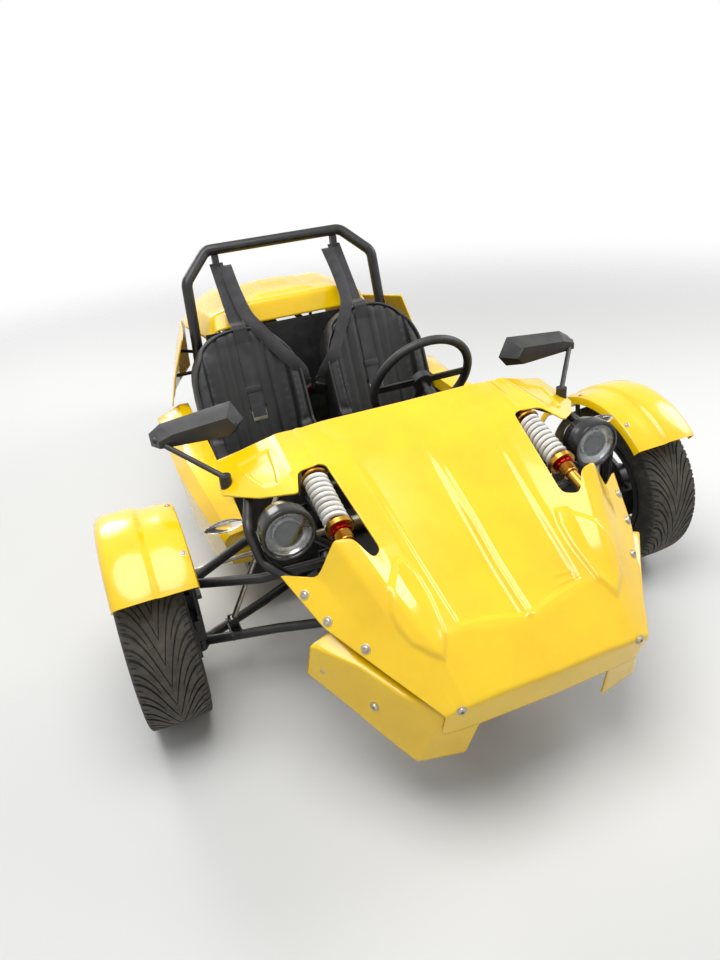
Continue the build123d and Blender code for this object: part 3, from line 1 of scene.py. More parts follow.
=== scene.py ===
# %% [markdown]
# # A three-wheeled roadster, dressed in Blender
# The car stands on three wheels: two steered ones in front under cycle fenders, and one driven wheel
# behind two bucket seats. Its solids come from CAD and stay where they are. This file gives them their
# finishes and lays softer or finer pieces over them, one cell at a time, each after a few words on what
# the piece is on the real car and why it is made this way.

# %% Load the frame
import math

import bmesh
import bpy
from mathutils import Matrix, Vector


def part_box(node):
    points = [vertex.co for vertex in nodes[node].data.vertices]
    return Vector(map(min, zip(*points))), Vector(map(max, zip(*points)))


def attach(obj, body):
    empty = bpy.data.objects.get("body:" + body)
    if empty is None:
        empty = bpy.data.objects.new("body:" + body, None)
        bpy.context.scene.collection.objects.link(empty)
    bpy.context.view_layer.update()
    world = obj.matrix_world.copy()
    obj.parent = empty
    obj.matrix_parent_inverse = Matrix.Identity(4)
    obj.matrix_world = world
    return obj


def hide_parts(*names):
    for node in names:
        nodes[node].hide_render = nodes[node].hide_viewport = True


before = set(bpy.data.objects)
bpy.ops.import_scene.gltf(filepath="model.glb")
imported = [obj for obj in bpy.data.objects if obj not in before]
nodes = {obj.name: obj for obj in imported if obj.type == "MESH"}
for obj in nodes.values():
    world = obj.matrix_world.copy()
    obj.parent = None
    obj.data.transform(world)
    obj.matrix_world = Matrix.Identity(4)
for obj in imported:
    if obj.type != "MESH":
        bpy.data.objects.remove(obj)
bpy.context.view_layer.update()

MM = 0.001

# %% [markdown]
# Most sizes below are read from the frame, so that a wheel or a seat that changes in CAD changes here
# too. A node's box is enough for the round and straight pieces: the axle height is the middle of the
# tyre's box, and the width is its thickness.

# %% Sizes read from the frame
def middle_of(node):
    low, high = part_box(node)
    return (low + high) / 2


def size_of(node):
    low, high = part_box(node)
    return high - low


FRONT_X = middle_of("tyre_front_left").x
REAR_X = middle_of("tyre_rear").x
WHEEL_Y = middle_of("tyre_front_left").y
print("front axle", round(FRONT_X, 3), "rear axle", round(REAR_X, 3), "wheel", round(WHEEL_Y, 3))

# %% [markdown]
# Colours are written as sRGB hex values, as a paint chart gives them, and one function turns them into
# the linear numbers that shaders work in. A material is a small tree of nodes round one principled
# shader, and one function adds a node with its settings and its links.

# %% Colours
def linear(hex_colour):
    """sRGB hex value as the linear colour that shaders take."""
    parts = [int(hex_colour[i:i + 2], 16) / 255 for i in (0, 2, 4)]
    return tuple(p / 12.92 if p <= 0.04045 else ((p + 0.055) / 1.055) ** 2.4 for p in parts) + (1,)


# %% Nodes of a material
def add(tree, kind, settings=None, links=None):
    """Add one shader node: settings go to its attributes or sockets, links join its sockets."""
    node = tree.nodes.new("ShaderNode" + kind)
    for name, value in (settings or {}).items():
        if isinstance(name, str) and hasattr(node, name):
            setattr(node, name, value)
        else:
            node.inputs[name].default_value = value
    for socket, source in (links or {}).items():
        tree.links.new(source, node.inputs[socket])
    return node


def new_material(name):
    """Material with an empty tree, its output and one principled shader."""
    material = bpy.data.materials.new(name)
    material.use_nodes = True
    tree = material.node_tree
    tree.nodes.clear()
    shader = add(tree, "BsdfPrincipled")
    add(tree, "OutputMaterial", links={"Surface": shader.outputs["BSDF"]})
    return material, tree, shader


# %% [markdown]
# Most meshes made here go through one small function. It makes the object from its points and faces,
# shades it smooth, gives it its finish and seats it on the body that carries it. A second one gives CAD
# solids their finish and leaves their shape as it is.

# %% Make a piece
def piece(name, verts, faces, body, material, smooth=True):
    mesh = bpy.data.meshes.new(name)
    mesh.from_pydata([tuple(v) for v in verts], [], faces)
    mesh.validate()
    mesh.update()
    ob = bpy.data.objects.new(name, mesh)
    bpy.context.scene.collection.objects.link(ob)
    mesh.materials.append(material)
    for polygon in mesh.polygons:
        polygon.use_smooth = smooth
    if body:
        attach(ob, body)
    return ob


def finish_nodes(material, *names):
    """Give CAD nodes their finish."""
    for name in names:
        slots = nodes[name].data.materials
        slots.clear()
        slots.append(material)


# %% [markdown]
# The camera stands at the photograph's place. Its place, direction and focal length were solved from
# points that the left and right half of the car share, and the focal length is in pixels of a frame 960
# pixels high, so it is turned into millimetres of a 36 mm film.

# %% Camera
CAMERA_PLACE = Vector((2.2155, -0.6959, 1.4220))
CAMERA_RIGHT = Vector((0.37983, 0.92055, -0.09117))
CAMERA_AHEAD = Vector((-0.82780, 0.29425, -0.47766))
FOCAL_PIXELS = 707.16
FRAME_HEIGHT = 960
FILM = 36

ahead = CAMERA_AHEAD.normalized()
right = (CAMERA_RIGHT - ahead * CAMERA_RIGHT.dot(ahead)).normalized()
up = right.cross(ahead)
camera = bpy.data.objects.new("camera", bpy.data.cameras.new("camera"))
bpy.context.scene.collection.objects.link(camera)
camera.matrix_world = Matrix.Translation(CAMERA_PLACE) @ Matrix((right, up, -ahead)).transposed().to_4x4()
camera.data.sensor_width = FILM
camera.data.lens = FILM * FOCAL_PIXELS / FRAME_HEIGHT
camera.data.clip_start = 0.05
bpy.context.scene.camera = camera
print("lens", round(camera.data.lens, 2), "mm")

# %% [markdown]
# The studio is plain: a pale floor that keeps the car's shadow, soft light from large lamps above, and a
# pale world. The floor's colour is a little under white, so that the yellow body sets the brightness. Some
# metres out the floor turns clear, so that it passes into a white background without an edge. The world
# is white where the camera, a reflection or a view through glass meets it, and dimmer as a light.

# %% Floor, world and lamps
FLOOR_HALF = 30
FLOOR_DROP = 0.001
CLEAR_FROM, CLEAR_TO = 1.9, 5.5
floor_finish, tree, shader = new_material("studio_floor")
shader.inputs["Base Color"].default_value = linear("DADAD8")
shader.inputs["Roughness"].default_value = 0.75
place = add(tree, "TexCoord").outputs["Object"]
reach = add(tree, "VectorMath", {"operation": "LENGTH"}, {"Vector": place}).outputs["Value"]
fade = add(tree, "MapRange", {"interpolation_type": "SMOOTHSTEP", "From Min": CLEAR_FROM, "From Max": CLEAR_TO},
           {"Value": reach}).outputs["Result"]
clear = add(tree, "BsdfTransparent").outputs["BSDF"]
floor_mix = add(tree, "MixShader", links={0: fade, 1: shader.outputs["BSDF"], 2: clear})
tree.links.new(floor_mix.outputs["Shader"], tree.nodes["Material Output"].inputs["Surface"])
corners = [(x * FLOOR_HALF, y * FLOOR_HALF, 0) for x, y in ((-1, -1), (1, -1), (1, 1), (-1, 1))]
floor = piece("studio_floor", corners, [(0, 1, 2, 3)], None, floor_finish)
floor.location.z = -FLOOR_DROP

world = bpy.data.worlds.new("studio")
bpy.context.scene.world = world
world.use_nodes = True
tree = world.node_tree
soft_light = tree.nodes["Background"]
soft_light.inputs["Color"].default_value = linear("E6E8EA")
soft_light.inputs["Strength"].default_value = 0.55
backdrop = add(tree, "Background", {"Color": (1, 1, 1, 1), "Strength": 1.0})
path = add(tree, "LightPath")
seen = path.outputs["Is Camera Ray"]
for ray in ("Is Glossy Ray", "Is Transmission Ray"):
    seen = add(tree, "Math", {"operation": "MAXIMUM"}, {0: seen, 1: path.outputs[ray]}).outputs["Value"]
backdrop_mix = add(tree, "MixShader", links={0: seen, 1: soft_light.outputs["Background"],
                                             2: backdrop.outputs["Background"]})
tree.links.new(backdrop_mix.outputs["Shader"], tree.nodes["World Output"].inputs["Surface"])

# Each lamp: name, place, size in metres, power in watts
LAMPS = [
    ("lamp_above", (0.9, -0.6, 3.4), 2.6, 88),
    ("lamp_left", (0.6, 3.2, 2.4), 1.8, 55),
    ("lamp_rear", (-3.2, -1.2, 2.6), 1.8, 60),
]
for name, place, size, power in LAMPS:
    lamp = bpy.data.objects.new(name, bpy.data.lights.new(name, "AREA"))
    lamp.data.shape = "DISK"
    lamp.data.size = size
    lamp.data.energy = power
    lamp.location = place
    lamp.rotation_euler = (Vector((0, 0, 0.4)) - Vector(place)).to_track_quat("-Z", "Y").to_euler()
    bpy.context.scene.collection.objects.link(lamp)
bpy.context.scene.view_settings.view_transform = "Standard"
print("lamps", [name for name, *rest in LAMPS])

# %% [markdown]
# ## Finishes
# A finish starts from what the real surface is and how it was made. Patterns take their scale from a
# size in millimetres: noise of scale 1000 / s repeats about every s millimetres in a scene in metres.
# Most finishes have three layers of detail: a base colour that varies a little, a roughness that varies
# with handling and dust, and a bump for the texture that the hand would feel. The clear plastics vary
# only in their roughness.

# %% Scale of a pattern
def per_mm(size):
    """Texture scale for a pattern that repeats about every so many millimetres."""
    return 1000 / size


def noise(tree, size, detail=3, roughness=0.5, stretch=None):
    """Noise on object coordinates whose grains are about so many millimetres wide."""
    place = add(tree, "TexCoord").outputs["Object"]
    if stretch:
        place = add(tree, "Mapping", {"Scale": stretch}, {"Vector": place}).outputs["Vector"]
    return add(tree, "TexNoise", {"Scale": per_mm(size), "Detail": detail, "Roughness": roughness},
               {"Vector": place}).outputs["Fac"]


def spread(tree, source, low, high, start=0.3, end=0.7):
    """Map a 0 to 1 pattern to the range from low to high."""
    return add(tree, "MapRange", {"From Min": start, "From Max": end, "To Min": low, "To Max": high},
               {"Value": source}).outputs["Result"]


def between(tree, factor, first, second):
    """Colour that goes from the first to the second by a factor."""
    mix = add(tree, "Mix", {"data_type": "RGBA"})
    mix.inputs[6].default_value = first
    mix.inputs[7].default_value = second
    tree.links.new(factor, mix.inputs[0])
    return mix.outputs[2]


def bump(tree, shader, height, depth_mm, strength=1.0, under=None):
    """Bump of a depth in millimetres, with an optional bump under it."""
    links = {"Height": height}
    if under:
        links["Normal"] = under
    node = add(tree, "Bump", {"Distance": depth_mm * MM, "Strength": strength}, links)
    tree.links.new(node.outputs["Normal"], shader.inputs["Normal"])
    return node.outputs["Normal"]


# %% [markdown]
# The body is glass fibre moulded in a polished tool. Its outer skin is gel coat, a pigmented polyester
# with a hard gloss (IOR about 1.5). Up close it has a faint long wave from the mat below and a film of
# workshop dust, which dulls the gloss in patches. The colour is a warm yellow, a little deeper where
# the dust is thicker.

# %% Yellow gel coat
def make_gelcoat(name, clean, dusty):
    material, tree, shader = new_material(name)
    dust = noise(tree, 180, 5, 0.6)
    tree.links.new(between(tree, spread(tree, dust, 0, 1, 0.42, 0.75), linear(clean), linear(dusty)),
                   shader.inputs["Base Color"])
    tree.links.new(spread(tree, noise(tree, 60, 6, 0.65), 0.17, 0.27), shader.inputs["Roughness"])
    shader.inputs["IOR"].default_value = 1.5
    shader.inputs["Coat Weight"].default_value = 0.35
    shader.inputs["Coat Roughness"].default_value = 0.06
    wave = bump(tree, shader, noise(tree, 60, 1, 0.4), 0.12)
    bump(tree, shader, noise(tree, 1.6, 2, 0.5), 0.012, under=wave)
    return material


yellow_gelcoat = make_gelcoat("yellow_gelcoat", "F8CC02", "EEBE0A")

# %% [markdown]
# Frame tubes, wishbones and the roll hoop are steel with black powder coat, baked to a satin orange
# peel whose bumps are one to two millimetres across. Powder coat has an IOR near 1.5 and chips little,
# but dust lies on it in a brown film.

# %% Black powder coat
def make_powder_coat(name, colour, dusty, low=0.3, high=0.5):
    material, tree, shader = new_material(name)
    film = spread(tree, noise(tree, 40, 6, 0.6), 0, 1, 0.45, 0.8)
    tree.links.new(between(tree, film, linear(colour), linear(dusty)), shader.inputs["Base Color"])
    tree.links.new(spread(tree, noise(tree, 25, 5, 0.6), low, high), shader.inputs["Roughness"])
    shader.inputs["IOR"].default_value = 1.5
    bump(tree, shader, noise(tree, 1.8, 2, 0.5), 0.06)
    return material


black_powder_coat = make_powder_coat("black_powder_coat", "121213", "2A2723")
white_powder_coat = make_powder_coat("white_powder_coat", "E4E2DC", "B9B3A6", 0.25, 0.42)
wheel_paint = make_powder_coat("wheel_paint_dark", "222326", "39352F", 0.28, 0.5)

# %% [markdown]
# Seats are covered in expanded vinyl, a soft plastic sheet embossed with a leather grain whose cells
# are about two millimetres wide. Its IOR is near 1.5 and it shines where bodies rub it. A Voronoi
# pattern gives the cells, a finer noise the pores.

# %% Black seat vinyl
def make_vinyl(name, colour, worn):
    material, tree, shader = new_material(name)
    place = add(tree, "TexCoord").outputs["Object"]
    cells = add(tree, "TexVoronoi", {"feature": "DISTANCE_TO_EDGE", "Scale": per_mm(3.2), "Randomness": 0.9},
                {"Vector": place}).outputs["Distance"]
    rub = spread(tree, noise(tree, 90, 4, 0.55), 0, 1, 0.4, 0.75)
    tree.links.new(between(tree, rub, linear(colour), linear(worn)), shader.inputs["Base Color"])
    tree.links.new(spread(tree, noise(tree, 70, 5, 0.6), 0.34, 0.55), shader.inputs["Roughness"])
    shader.inputs["IOR"].default_value = 1.5
    grain = bump(tree, shader, spread(tree, cells, 0, 1, 0, 0.25), 0.22)
    bump(tree, shader, noise(tree, 0.9, 2), 0.03, under=grain)
    return material


black_vinyl = make_vinyl("black_vinyl", "161617", "232323")

# %% [markdown]
# Tyre rubber holds carbon black, so it is a dark grey rather than black. Walls are smoother than the
# tread, and both carry brown road dust in their grain. The IOR of rubber is about 1.52.

# %% Tyre rubber
def make_rubber(name, colour, dusty, dust_from, low=0.55, high=0.8):
    material, tree, shader = new_material(name)
    dust = spread(tree, noise(tree, 30, 6, 0.65), 0, 1, dust_from, 0.85)
    tree.links.new(between(tree, dust, linear(colour), linear(dusty)), shader.inputs["Base Color"])
    tree.links.new(spread(tree, noise(tree, 12, 5), low, high), shader.inputs["Roughness"])
    shader.inputs["IOR"].default_value = 1.52
    bump(tree, shader, noise(tree, 1.2, 4, 0.6), 0.09)
    return material


tyre_rubber = make_rubber("tyre_rubber", "232220", "4A443B", 0.42)

# %% [markdown]
# Mirror shells, headlamp housings and the steering wheel's hub are injection-moulded ABS with a fine
# spark-eroded texture, about half a millimetre to a grain, IOR 1.54. Glossier ABS has less texture.

# %% Moulded black ABS
def make_abs(name, colour, low, high, depth):
    material, tree, shader = new_material(name)
    dust = spread(tree, noise(tree, 55, 5), 0, 1, 0.45, 0.8)
    tree.links.new(between(tree, dust, linear(colour), linear("302F2D")), shader.inputs["Base Color"])
    tree.links.new(spread(tree, noise(tree, 35, 5), low, high), shader.inputs["Roughness"])
    shader.inputs["IOR"].default_value = 1.54
    bump(tree, shader, noise(tree, 0.8, 2), depth)
    return material


black_abs = make_abs("black_abs", "151516", 0.42, 0.6, 0.05)
gloss_abs = make_abs("gloss_black_abs", "0B0B0C", 0.12, 0.28, 0.008)

# %% [markdown]
# Bright metals differ by how they were finished. Zinc plate on tie rods and bolts is dull and a little
# yellow, anodised aluminium on the dampers is dyed and even, a ground brake disc has fine rings, and
# cast aluminium on the engine is grey and grainy. All are metallic 1 with the default IOR.

# %% Metals
def make_metal(name, colour, stained, low, high, grain_mm, depth):
    material, tree, shader = new_material(name)
    stain = spread(tree, noise(tree, 18, 5, 0.6), 0, 1, 0.4, 0.8)
    tree.links.new(between(tree, stain, linear(colour), linear(stained)), shader.inputs["Base Color"])
    tree.links.new(spread(tree, noise(tree, 9, 5, 0.6), low, high), shader.inputs["Roughness"])
    shader.inputs["Metallic"].default_value = 1
    bump(tree, shader, noise(tree, grain_mm, 3, 0.6), depth)
    return material


zinc_plate = make_metal("zinc_plated_steel", "B9B4A6", "8D8268", 0.3, 0.5, 1.0, 0.03)
gold_anodised = make_metal("gold_anodised_aluminium", "B88A3C", "A5752B", 0.22, 0.36, 0.8, 0.01)
red_anodised = make_metal("red_anodised_aluminium", "A31714", "7E100E", 0.2, 0.34, 0.8, 0.01)
cast_aluminium = make_metal("cast_aluminium", "85868A", "5E5C58", 0.42, 0.62, 2.2, 0.15)
stainless = make_metal("stainless_steel", "C4C4C2", "A09E9A", 0.18, 0.3, 0.7, 0.01)
dark_steel = make_metal("blackened_steel", "3A3A3C", "2E2924", 0.35, 0.55, 1.2, 0.05)

# %% [markdown]
# The tub is glass fibre too, painted black inside, with the weave of the mat showing as a coarse
# wrinkle. Clear lamp covers are polycarbonate (IOR 1.585) and the indicators' leaf lenses are acrylic
# (IOR 1.49) over a bright reflector.

# %% Tub paint and lamp plastics
tub_black = make_powder_coat("tub_paint_black", "161615", "35322D", 0.45, 0.65)


def make_clear(name, colour, ior, rough):
    material, tree, shader = new_material(name)
    shader.inputs["Base Color"].default_value = linear(colour)
    shader.inputs["Transmission Weight"].default_value = 1
    shader.inputs["IOR"].default_value = ior
    tree.links.new(spread(tree, noise(tree, 25, 5), rough, rough + 0.05), shader.inputs["Roughness"])
    return material


clear_polycarbonate = make_clear("clear_polycarbonate", "F4F7FA", 1.585, 0.02)
clear_acrylic = make_clear("clear_acrylic", "F7F2E4", 1.49, 0.06)
red_acrylic = make_abs("red_acrylic_lens", "9E0F12", 0.1, 0.2, 0.02)

# %% [markdown]
# Belt webbing is woven polyester, 48 mm wide. Its warp runs along the strap in ribs a little over a
# millimetre apart, and the weft crosses them in a twill, so light catches it as fine slanted lines. A wave
# texture has 20 bands where a noise of the same scale has one grain, so its scale is a twentieth.

# %% Belt webbing
WAVE_BANDS = 20
WARP_PITCH, WEFT_PITCH = 1.5, 1.1


def make_webbing(name, colour, worn):
    material, tree, shader = new_material(name)
    place = add(tree, "TexCoord").outputs["Object"]
    warp, weft = [add(tree, "TexWave", {"bands_direction": direction, "Scale": per_mm(pitch) / WAVE_BANDS},
                      {"Vector": place}).outputs["Fac"]
                  for direction, pitch in (("Y", WARP_PITCH), ("DIAGONAL", WEFT_PITCH))]
    rub = spread(tree, noise(tree, 40, 4), 0, 1, 0.4, 0.75)
    tree.links.new(between(tree, rub, linear(colour), linear(worn)), shader.inputs["Base Color"])
    tree.links.new(spread(tree, noise(tree, 20, 4), 0.7, 0.9), shader.inputs["Roughness"])
    shader.inputs["Sheen Weight"].default_value = 0.2
    ribs = bump(tree, shader, warp, 0.25)
    bump(tree, shader, weft, 0.12, under=ribs)
    return material


belt_webbing = make_webbing("belt_webbing", "232325", "38373A")
print("finishes", len(bpy.data.materials))

# %% [markdown]
# ## CAD pieces that only need their finish
# Tubes, arms, rods and plates have their real shape already. They keep their solids and get a finish.

# %% Finish the frame's own pieces
finish_nodes(yellow_gelcoat, "hood", "front_bumper", "side_pods", "rear_deck", "rear_sides",
             "fender_left", "fender_right")
finish_nodes(black_powder_coat, "chassis_frame", "lamp_hoops", "roll_hoop", "lower_arms", "upper_arms",
             "lamp_brackets", "swing_arm", "steering_column", "rockers", "knuckle_left", "knuckle_right")
finish_nodes(black_vinyl, "seat_left", "seat_right")
finish_nodes(tyre_rubber, "tyre_front_left", "tyre_front_right", "tyre_rear")
finish_nodes(black_abs, "mirror_arms", "mirror_heads", "steering_wheel", "firewall", "cockpit_fittings",
             "mudguard")
finish_nodes(dark_steel, "chain")
finish_nodes(belt_webbing, "belts")
finish_nodes(red_acrylic, "tail_lamps")
finish_nodes(gloss_abs, "headlamps")
finish_nodes(wheel_paint, "rim_front_left", "rim_front_right", "rim_rear")
finish_nodes(white_powder_coat, "springs")
finish_nodes(gold_anodised, "dampers")
finish_nodes(zinc_plate, "pushrods", "rack_housing", "lower_shaft", "steering_rack")
finish_nodes(clear_polycarbonate, "headlamp_glass")
finish_nodes(clear_acrylic, "indicators")
finish_nodes(tub_black, "floor_tub")
finish_nodes(cast_aluminium, "engine")

# %% [markdown]
# ## Moulded body panels
# A moulded panel starts as a coarse net of measured points, whose rows run across the car. The net is
# split into cells of a few millimetres, and then relaxed, which rounds each fold as a mould maker's
# fillet does. Ribs, steps and blisters are pressed into the fine net by their distance from a line
# drawn in plan. This keeps every fold where it was measured, and gives the soft highlights that gel
# coat shows, which flat facets and a plain bevel don't.

# %% Net of a panel
import numpy as np

CELL = 5.5


def split(net, cell):
    """Add rows to a net so that none is further than a cell from the next."""
    result = [net[0]]
    for first, second in zip(net[:-1], net[1:]):
        steps = max(1, math.ceil(np.linalg.norm(second - first, axis=1).max() / cell))
        result += [first + (second - first) * k / steps for k in range(1, steps + 1)]
    return np.array(result)


def relax(net, times):
    """Round the folds of a net, and those along its edges, and leave its corners in place."""
    for _ in range(times):
        mean = (net[:-2, 1:-1] + net[2:, 1:-1] + net[1:-1, :-2] + net[1:-1, 2:]) / 4
        net[1:-1, 1:-1] = (net[1:-1, 1:-1] + mean) / 2
        for edge in (net[0], net[-1], net[:, 0], net[:, -1]):
            edge[1:-1] = (edge[1:-1] + (edge[:-2] + edge[2:]) / 2) / 2
    return net


def panel_net(rows, axle, mirrored, times, cell=CELL):
    """Fine net in millimetres from rows of points: (ahead of the axle, y, z)."""
    net = np.array(rows, float)
    if mirrored:
        net = np.concatenate([net[:, :0:-1] * (1, -1, 1), net], axis=1)
    net[:, :, 0] += axle * 1000
    net = split(net, cell)
    net = split(net.transpose(1, 0, 2), cell).transpose(1, 0, 2)
    return relax(net.copy(), times)


def ease(value):
    """Smooth step from 0 to 1."""
    value = np.clip(value, 0, 1)
    return value * value * (3 - 2 * value)


def normals_of(net):
    along = np.gradient(net, axis=0)
    across = np.gradient(net, axis=1)
    normal = np.cross(along, across)
    return normal / np.maximum(np.linalg.norm(normal, axis=2, keepdims=True), 1e-9)


def press(net, depth):
    """Move each point of a net along its normal by a depth in millimetres."""
    return net + normals_of(net) * depth[:, :, None]


# %% [markdown]
# Lines on a panel are drawn in plan, as distances ahead of the axle and out from the middle. One
# function gives the distance of each point of the net from such a line, and another says how deep a
# point lies inside a closed outline.

# %% Distances in plan
def distance_to(line, x, y):
    """Distance in plan of points from a line of points."""
    nearest = np.full(x.shape, 1e9)
    for (ax, ay), (bx, by) in zip(line[:-1], line[1:]):
        run_x, run_y = bx - ax, by - ay
        along = np.clip(((x - ax) * run_x + (y - ay) * run_y) / (run_x ** 2 + run_y ** 2), 0, 1)
        nearest = np.minimum(nearest, np.hypot(x - ax - along * run_x, y - ay - along * run_y))
    return nearest


def depth_inside(outline, x, y):
    """How far points lie inside a closed outline, negative outside it."""
    closed = list(outline) + [outline[0]]
    inside = np.zeros(x.shape, bool)
    for (ax, ay), (bx, by) in zip(closed[:-1], closed[1:]):
        if ay != by:
            crosses = ((ay > y) != (by > y)) & (x < (bx - ax) * (y - ay) / (by - ay) + ax)
            inside ^= crosses
    distance = distance_to(closed, x, y)
    return np.where(inside, distance, -distance)


def rounded(outline, radius, steps=4):
    """Closed outline with its corners rounded off."""
    result = []
    count = len(outline)
    for k in range(count):
        corner = Vector(outline[k])
        before = Vector(outline[k - 1]) - corner
        after = Vector(outline[(k + 1) % count]) - corner
        reach = min(radius, before.length * 0.45, after.length * 0.45)
        start = corner + before.normalized() * reach
        end = corner + after.normalized() * reach
        for s in range(steps + 1):
            t = s / steps
            result.append(tuple(start * (1 - t) ** 2 + corner * 2 * t * (1 - t) + end * t * t))
    return result


# %% [markdown]
# The finished net becomes a skin: one quad for each cell. An opening is cut by slicing the skin along
# the lines of its outline and deleting the faces inside, which leaves a clean edge where a Boolean of
# so many small faces would be slow. A Solidify modifier then gives the skin its wall.

# %% Skin from a net
def skin_mesh(net, openings=()):
    rows, columns = net.shape[:2]
    bm = bmesh.new()
    points = [[bm.verts.new(net[i, j] * MM) for j in range(columns)] for i in range(rows)]
    for i in range(rows - 1):
        for j in range(columns - 1):
            bm.faces.new((points[i][j], points[i + 1][j], points[i + 1][j + 1], points[i][j + 1]))
    for outline in openings:
        cut_out(bm, outline)
    return bm


def cut_out(bm, outline):
    """Cut a closed outline, given in plan in metres, out of a skin."""
    margin = 0.01
    low_x, low_y = min(p[0] for p in outline) - margin, min(p[1] for p in outline) - margin
    high_x, high_y = max(p[0] for p in outline) + margin, max(p[1] for p in outline) + margin
    around = {}
    for face in bm.faces:
        centre = face.calc_center_median()
        if low_x < centre.x < high_x and low_y < centre.y < high_y:
            around[face] = centre
    for start, end in zip(outline, list(outline[1:]) + [outline[0]]):
        start, end = Vector((*start, 0)), Vector((*end, 0))
        if (end - start).length < 1e-6:
            continue
        side = (end - start).cross(Vector((0, 0, 1))).normalized()
        least_x, most_x = sorted((start.x, end.x))
        least_y, most_y = sorted((start.y, end.y))
        near = [f for f, c in around.items() if least_x - margin < c.x < most_x + margin
                and least_y - margin < c.y < most_y + margin]
        geometry = near + list({e for f in near for e in f.edges}) + list({v for f in near for v in f.verts})
        made = bmesh.ops.bisect_plane(bm, geom=geometry, dist=1e-6, plane_co=start, plane_no=side)["geom"]
        around = {f: c for f, c in around.items() if f.is_valid}
        around.update({f: f.calc_center_median() for f in made if isinstance(f, bmesh.types.BMFace)})
    faces = list(around)
    x = np.array([around[f].x for f in faces])
    y = np.array([around[f].y for f in faces])
    within = depth_inside(outline, x, y) > 0
    gone = [f for f, inside in zip(faces, within) if inside]
    bmesh.ops.delete(bm, geom=gone, context="FACES")


def skin_piece(name, bm, wall, body, material, outward=1):
    """Object of a skin with a wall of so many millimetres on its inner side."""
    mesh = bpy.data.meshes.new(name)
    bm.to_mesh(mesh)
    bm.free()
    ob = bpy.data.objects.new(name, mesh)
    bpy.context.scene.collection.objects.link(ob)
    mesh.materials.append(material)
    for polygon in mesh.polygons:
        polygon.use_smooth = True
    wall_modifier = ob.modifiers.new("wall", "SOLIDIFY")
    wall_modifier.thickness = wall * MM
    wall_modifier.offset = -outward
    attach(ob, body)
    return ob


# %% [markdown]
# The hood is one large moulding. Between two ridges lies a long flat field that sinks towards the
# front, with a spine along its middle, and the nose steps up to meet it in a shallow V. Outside each
# ridge a leaf-shaped blister stands on the flank, and the corner by the mirror has a shallow field of
# its own. The springs and headlamps come through an opening cut in each side.

# %% Hood
WALL = 5
# Columns are centre, ridge, slot line, crest, shoulder, drop and edge: (ahead of the front axle, y, z)
HOOD_ROWS = [
    [(-8, 0, 704), (-20, 217, 700), (-34, 280, 689), (-51, 329, 683),
     (-60, 380, 668), (-70, 430, 652), (-84, 488, 635)],
    [(60, 0, 680), (50, 211, 669), (45, 283, 675), (40, 335, 672),
     (38, 385, 655), (38, 440, 635), (39, 511, 601)],
    [(131, 0, 650), (131, 205, 640), (124, 282, 658), (134, 345, 660),
     (138, 380, 648), (140, 415, 632), (142, 470, 600)],
    [(211, 0, 615), (211, 199, 604), (211, 267, 620), (211, 361, 646),
     (211, 385, 635), (211, 420, 615), (211, 470, 585)],
    [(360, 0, 541), (360, 188, 536), (373, 240, 548), (364, 296, 591),
     (357, 337, 595), (356, 382, 511), (298, 454, 506)],
    [(470, 0, 482), (465, 181, 488), (465, 225, 492), (470, 262, 510),
     (460, 300, 505), (450, 350, 462), (430, 405, 435)],
    [(609, 0, 424), (573, 175, 438), (585, 195, 430), (624, 214, 398),
     (605, 250, 396), (585, 285, 390), (560, 325, 382)],
    [(701, 0, 359), (695, 120, 356), (692, 170, 350), (688, 205, 345),
     (684, 228, 340), (682, 240, 336), (680, 249, 332)],
    [(680, 0, 274), (676, 120, 272), (673, 170, 270), (670, 205, 268),
     (666, 228, 266), (662, 240, 264), (655, 249, 262)],
]
LAMP_NOTCH = [(120, 264), (373, 236), (403, 267), (364, 296), (357, 337), (356, 382), (298, 454),
              (298, 600), (45, 600), (39, 511), (140, 436), (211, 361), (134, 337)]
RIDGE = [(-20, 217), (211, 199), (360, 188), (572, 172)]
NOSE_STEP = [(604, 0), (583, 85), (572, 172)]
SPINE = [(110, 0), (604, 0)]
LEAF = [(392, 196), (435, 180), (490, 176), (573, 182), (618, 212), (594, 238), (563, 266), (527, 281),
        (500, 284), (453, 259), (405, 226)]
CORNER_FIELD = [(-22, 452), (55, 436), (117, 420), (140, 388), (85, 377), (-10, 366)]


def make_hood():
    net = panel_net(HOOD_ROWS, FRONT_X, True, 7)
    x, y = net[:, :, 0] - FRONT_X * 1000, np.abs(net[:, :, 1])
    ridge_y = np.interp(x, [p[0] for p in RIDGE], [p[1] for p in RIDGE])
    step_x = np.interp(y, [p[1] for p in NOSE_STEP], [p[0] for p in NOSE_STEP])
    field = ease((ridge_y - 16 - y) / 12) * ease((step_x - 8 - x) / 12)
    depth = -9 * field * ease((x - 40) / 420)
    depth += 11 * ease(1 - distance_to(SPINE, x, y) / 16) * ease((x - 110) / 300) * ease((step_x - x) / 20)
    depth += 8 * ease(depth_inside(LEAF, x, y) / 12)
    depth -= 3 * ease(depth_inside(CORNER_FIELD, x, y) / 8)
    depth += 2.5 * ease(1 - distance_to([(-34, 281), (117, 284)], x, y) / 12)
    depth += 2.5 * ease(1 - distance_to([(-45, 338), (130, 346)], x, y) / 12)
    for mark in ([(531, 109), (534, 146)], [(552, 107), (551, 154)]):
        depth += 2.5 * ease(1 - distance_to(mark, x, net[:, :, 1]) / 5)
    net = press(net, depth)
    notch = rounded([(FRONT_X + a * MM, b * MM) for a, b in LAMP_NOTCH], 0.016)
    other = [(a, -b) for a, b in reversed(notch)]
    ob = skin_piece("hood_moulding", skin_mesh(net, (notch, other)), WALL, "chassis", yellow_gelcoat)
    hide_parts("hood")
    return ob


hood = make_hood()
print("hood faces", len(hood.data.polygons))

